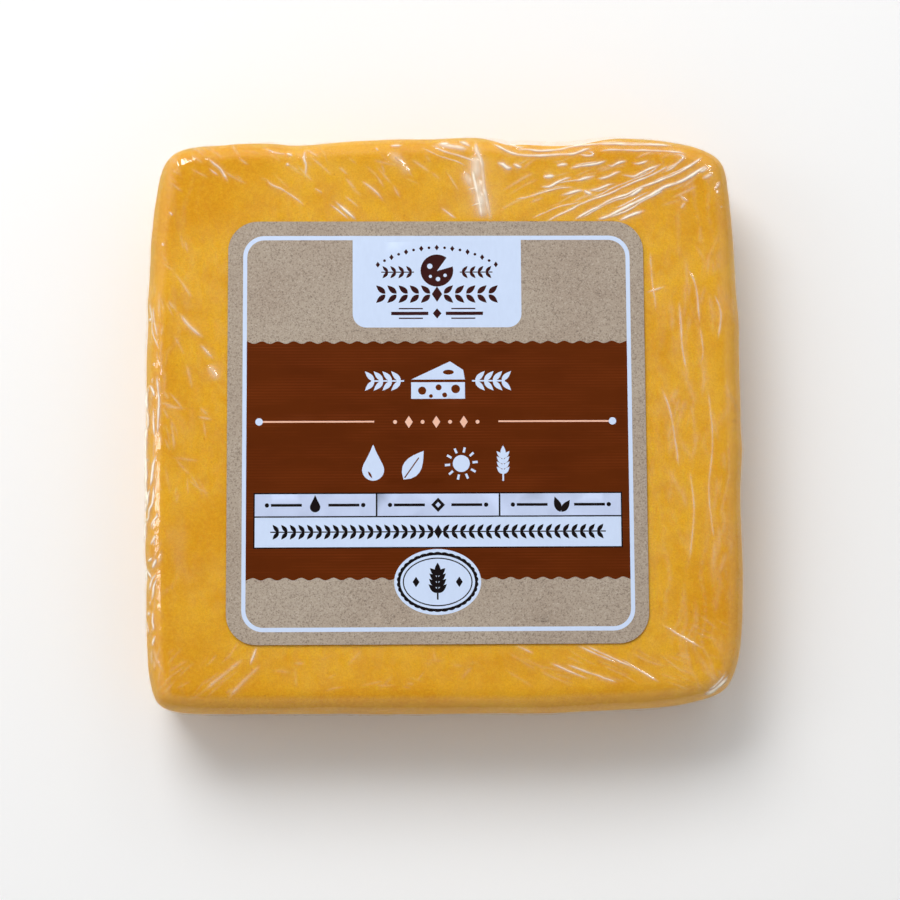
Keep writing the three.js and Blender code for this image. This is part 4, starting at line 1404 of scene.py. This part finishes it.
    # four signs: a drop, a leaf, a sun and an ear of grain
    yy = -6.1
    put(WHITE, drop(-11.6, yy - 1.1, 2.0, 28))
    put(BROWN, leaf(-12.5, yy - 1.4, 1.5, 0.4, -60))
    put(WHITE, leaf(-6.1, yy - 2.9, 6.4, 3.3, 55))
    put(BROWN, bar(-5.9, yy - 2.6, -3.3, yy + 1.1, 0.22))
    put(WHITE, oval(4.4, yy, 1.55, 1.55, 24))
    for k in range(10):
        a = 2 * math.pi * k / 10 + 0.1
        put(WHITE, bar(4.4 + 2.05 * math.cos(a), yy + 2.05 * math.sin(a),
                       4.4 + 3.0 * math.cos(a), yy + 3.0 * math.sin(a), 0.42))
    put(WHITE, bar(12.0, yy - 3.2, 12.0, yy + 1.4, 0.3))
    put(WHITE, leaf(12.0, yy + 1.2, 2.1, 0.95, 90))
    for k in range(4):
        for side in (-1, 1):
            put(WHITE, leaf(12.0, yy - 1.9 + 0.95 * k, 1.75, 0.75, 90 - side * 42))
    # ruled boxes
    put(BLACK, [(-33.25, -21.5), (33.55, -21.5), (33.55, -11.35), (-33.25, -11.35)])
    for a, b in ((-33.0, -11.13), (-10.83, 11.14), (11.44, 33.3)):
        put(CELL, [(a, -15.60), (b, -15.60), (b, -11.6), (a, -11.6)])
    put(WHITE, [(-33.0, -21.25), (33.3, -21.25), (33.3, -15.86), (-33.0, -15.86)])
    for cxx, kind in ((-22.1, 0), (0.15, 1), (22.4, 2)):
        y = -13.62
        for side in (-1, 1):
            put(BLACK, bar(cxx + side * 2.4, y, cxx + side * 8.0, y, 0.5))
            put(BLACK, oval(cxx + side * 8.7, y, 0.4, 0.4, 12))
        if kind == 0:
            put(BLACK, drop(cxx, y - 0.35, 0.95, 22))
        elif kind == 1:
            put(BLACK, diamond(cxx, y, 1.25, 1.3))
            put(CELL, diamond(cxx, y, 0.5, 0.52))
        else:
            put(BLACK, leaf(cxx - 0.1, y - 1.4, 3.0, 1.3, 110))
            put(BLACK, leaf(cxx + 0.1, y - 1.4, 2.7, 1.2, 55))
    # a chain of small leaves along the lower box
    y = -18.5
    put(BLACK, bar(-30.2, y, 30.5, y, 0.22))
    for k in range(-19, 20):
        if k == 0:
            continue
        px = 0.15 + 1.55 * k
        sgn = 1 if k > 0 else -1
        put(BLACK, leaf(px - 0.65 * sgn, y, 1.75, 0.74, (0 if sgn > 0 else 180) + 50))
        put(BLACK, leaf(px - 0.65 * sgn, y, 1.75, 0.74, (0 if sgn > 0 else 180) - 50))
    put(BLACK, diamond(0.15, y, 0.75, 1.3))
    # a plain oval seal with a scalloped edge
    sx, sy = 0.0, -27.6
    n = 34 * 8
    scallop = []
    for k in range(n):
        t = 2 * math.pi * k / n
        r = 1 + 0.028 * abs(math.sin(17 * t)) - 0.01
        scallop.append((sx + 7.25 * r * math.cos(t), sy + 5.35 * r * math.sin(t)))
    put(WHITE, oval(sx, sy, 7.85, 5.95, 60))
    put(BLACK, scallop)
    put(WHITE, oval(sx, sy, 6.75, 4.85, 56))
    put(BLACK, oval(sx, sy, 6.3, 4.4, 56))
    put(WHITE, oval(sx, sy, 6.08, 4.18, 56))
    put(BLACK, bar(sx, sy - 3.2, sx, sy + 1.8, 0.3))
    put(BLACK, leaf(sx, sy + 1.3, 2.2, 1.05, 90))
    for k in range(4):
        for side in (-1, 1):
            put(BLACK, leaf(sx, sy - 2.0 + 1.05 * k, 2.3 - 0.12 * k, 0.95, 90 - side * 46))
    for side in (-1, 1):
        put(BLACK, diamond(sx + side * 3.9, sy, 0.62, 0.95))
    return art


def build_label(materials):
    art = label_print()
    verts, edges, faces = [], [], []
    for pts, _ in art:
        base = len(verts)
        turn = sum(a[0] * b[1] - b[0] * a[1] for a, b in zip(pts, pts[1:] + pts[:1]))
        verts += [Vector(p) for p in (pts if turn > 0 else reversed(pts))]
        faces.append(list(range(base, base + len(pts))))
    outer = art[0][0]
    g = 1.9
    for i in range(-19, 20):
        for j in range(-19, 20):
            x, y = i * g + 0.03 * math.sin(3 * j), j * g * 1.02 + 0.03 * math.cos(5 * i)
            qx, qy = abs(x) - 32.6, abs(y) - 33.3
            if math.hypot(max(qx, 0), max(qy, 0)) + min(max(qx, qy), 0) - 5.5 < -0.8:
                verts.append(Vector((x, y)))
    v, e, f, _, _, source = delaunay_2d_cdt(verts, edges, faces, 0, 1e-5, True)
    xy = np.array([(p.x, p.y) for p in v])
    keep, ink = [], []
    for tri, owners in zip(f, source):
        if not owners:
            continue
        a, b, c = (v[k] for k in tri)
        area = (b.x - a.x) * (c.y - a.y) - (b.y - a.y) * (c.x - a.x)
        if abs(area) < 1e-9:
            continue
        keep.append(tuple(tri) if area > 0 else tuple(reversed(tri)))
        ink.append(art[max(owners)][1])
    used = sorted({k for t in keep for k in t})
    index = {k: i for i, k in enumerate(used)}
    xy = xy[used]
    keep = [tuple(index[k] for k in t) for t in keep]
    pts3 = np.column_stack([xy, np.zeros(len(xy))])
    edge_d = np.abs(label_distance(xy[:, 0] + LABEL_X, xy[:, 1] + LABEL_Y))
    z = (LABEL_TOP + 0.035 * fractal(pts3 * 0.06 + 2, 91, 2)
         + 0.012 * fractal(pts3 * 0.35 + 5, 92, 2)
         - 0.012 * np.exp(-edge_d / 0.25))
    top = np.column_stack([xy[:, 0] + LABEL_X, xy[:, 1] + LABEL_Y, z])
    count = {}
    for t in keep:
        for a, b in ((t[0], t[1]), (t[1], t[2]), (t[2], t[0])):
            count[(a, b)] = True
    rim = {a: b for (a, b) in count if (b, a) not in count}
    start = next(iter(rim))
    loop = [start]
    while rim[loop[-1]] != start:
        loop.append(rim[loop[-1]])
    low = top[loop].copy()
    low[:, 2] = LABEL_BASE
    base = len(top)
    all_xyz = np.vstack([top, low])
    m = len(loop)
    all_faces = list(keep)
    kinds = list(ink)
    for i in range(m):
        j = (i + 1) % m
        all_faces.append((loop[i], base + i, base + j, loop[j]))
        kinds.append(CELL)
    all_faces.append(tuple(base + i for i in reversed(range(m))))
    kinds.append(CELL)
    obj = new_object("paper_label", all_xyz, all_faces)
    for mat in materials:
        obj.data.materials.append(mat)
    obj.data.polygons.foreach_set("material_index", kinds)
    flat = np.array([len(fc) != 3 for fc in all_faces])
    obj.data.polygons.foreach_set("use_smooth", (~flat).tolist())
    on_rim = set(loop)
    ends = np.empty(len(obj.data.edges) * 2, int)
    obj.data.edges.foreach_get("vertices", ends)
    sharp = [(a in on_rim or a >= base) and (b in on_rim or b >= base) for a, b in ends.reshape(-1, 2)]
    obj.data.edges.foreach_set("use_edge_sharp", sharp)
    obj.data.update()
    return obj


# ------------------------------------------------------------- assembly ----
film, film_shell = build_film()
film.data.materials.append(film_material())
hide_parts("film_wrap")
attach(film, "root")

cheese = build_cheese(film_shell)
cheese.data.materials.append(cheese_material())
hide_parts("cheese_block")
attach(cheese, "root")

inks = [
    kraft_material(),
    white_material("label_white", lin(208, 224, 251), lin(197, 213, 241)),
    ink_material("band_brown", lin(94, 38, 2), lin(88, 34, 1), lines=0.30),
    ink_material("ink_black", lin(18, 12, 14), lin(26, 18, 18)),
    ink_material("rule_pale", lin(240, 186, 160), lin(246, 200, 178)),
    ink_material("ink_maroon", lin(50, 20, 22), lin(62, 26, 24)),
    white_material("label_cell", lin(197, 210, 240), lin(186, 199, 230)),
]
label = build_label(inks)
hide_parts("label")
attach(label, "root")

# --------------------------------------------------------- floor, light ----
def floor_material():
    n = Nodes("floor_paper")
    pos = n.place()
    soft = n.noise(6, 3, 0.5, pos)
    base = n.mix(n.ramp(soft, [(0.3, grey(0)), (0.7, grey(1))]), (0.95, 0.95, 0.95, 1), (0.97, 0.97, 0.97, 1))
    p = n.add("ShaderNodeBsdfPrincipled", {"Base Color": base, "Roughness": 0.9, "Specular IOR Level": 0.1})
    return n.surface(p.outputs[0])


size = 3.0
floor = new_object("floor", np.array([(-size, -size, 0), (size, -size, 0), (size, size, 0), (-size, size, 0)]) / MM
                   - np.array([0, 0, 0.02]), [(0, 1, 2, 3)], smooth=False)
floor.data.materials.append(floor_material())


def area(name, at, size_x, size_y, power, colour=(1, 1, 1), target=(0, 0, 0.01)):
    data = bpy.data.lights.new(name, "AREA")
    data.shape = "RECTANGLE"
    data.size, data.size_y = size_x, size_y
    data.energy = power
    data.color = colour
    obj = bpy.data.objects.new(name, data)
    obj.location = at
    obj.rotation_euler = (Vector(target) - Vector(at)).to_track_quat("-Z", "Y").to_euler()
    bpy.context.scene.collection.objects.link(obj)
    return obj


def soft(obj):
    """Seen only as diffuse light: a softbox whose own image stays out of the gloss."""
    obj.visible_glossy = False
    return obj


def glint(obj):
    """Seen only in gloss: a narrow strip of the studio."""
    obj.visible_diffuse = False
    return obj


soft(area("key", (-0.30, 0.60, 0.70), 0.60, 0.50, 6.1))
soft(area("left", (-0.85, 0.10, 0.62), 0.30, 0.30, 0.5))
soft(area("back", (0.30, 0.85, 0.60), 0.36, 0.26, 0.6))
glint(area("strip_upper_left", (-0.36, 0.72, 0.80), 0.10, 0.52, 2.6))
glint(area("strip_upper_right", (0.52, 0.55, 0.80), 0.09, 0.45, 1.8))
glint(area("strip_left", (-0.82, 0.08, 0.70), 0.09, 0.45, 0.8))

world = bpy.data.worlds.new("studio")
bpy.context.scene.world = world
world.use_nodes = True
wt = world.node_tree
wt.nodes.clear()


def w_math(op, a, b):
    node = wt.nodes.new("ShaderNodeMath")
    node.operation = op
    for i, value in enumerate((a, b)):
        if isinstance(value, bpy.types.NodeSocket):
            wt.links.new(value, node.inputs[i])
        else:
            node.inputs[i].default_value = value
    return node.outputs[0]


w_out = wt.nodes.new("ShaderNodeOutputWorld")
w_bg = wt.nodes.new("ShaderNodeBackground")
w_co = wt.nodes.new("ShaderNodeTexCoord")
w_sep = wt.nodes.new("ShaderNodeSeparateXYZ")
w_ramp = wt.nodes.new("ShaderNodeValToRGB")
wt.links.new(w_co.outputs["Generated"], w_sep.inputs[0])
wt.links.new(w_sep.outputs[2], w_ramp.inputs[0])
wt.links.new(w_ramp.outputs[0], w_bg.inputs[0])
wt.links.new(w_bg.outputs[0], w_out.inputs[0])
ramp = w_ramp.color_ramp
ramp.elements[0].position, ramp.elements[0].color = 0.0, (0.62, 0.62, 0.62, 1)
ramp.elements[1].position, ramp.elements[1].color = 0.93, (0.15, 0.15, 0.15, 1)
for pos, v in ((0.30, 0.80), (0.72, 0.85)):
    ramp.elements.new(pos).color = (v, v, v, 1)
turn = w_math("ADD", w_math("MULTIPLY", w_sep.outputs[0], -0.55), w_math("MULTIPLY", w_sep.outputs[1], 0.83))
wt.links.new(w_math("ADD", w_math("MULTIPLY", turn, 0.22), 0.80), w_bg.inputs[1])

view = bpy.context.scene.view_settings
view.view_transform = "Standard"
view.look = "None"
bpy.context.scene.cycles.transparent_max_bounces = 16
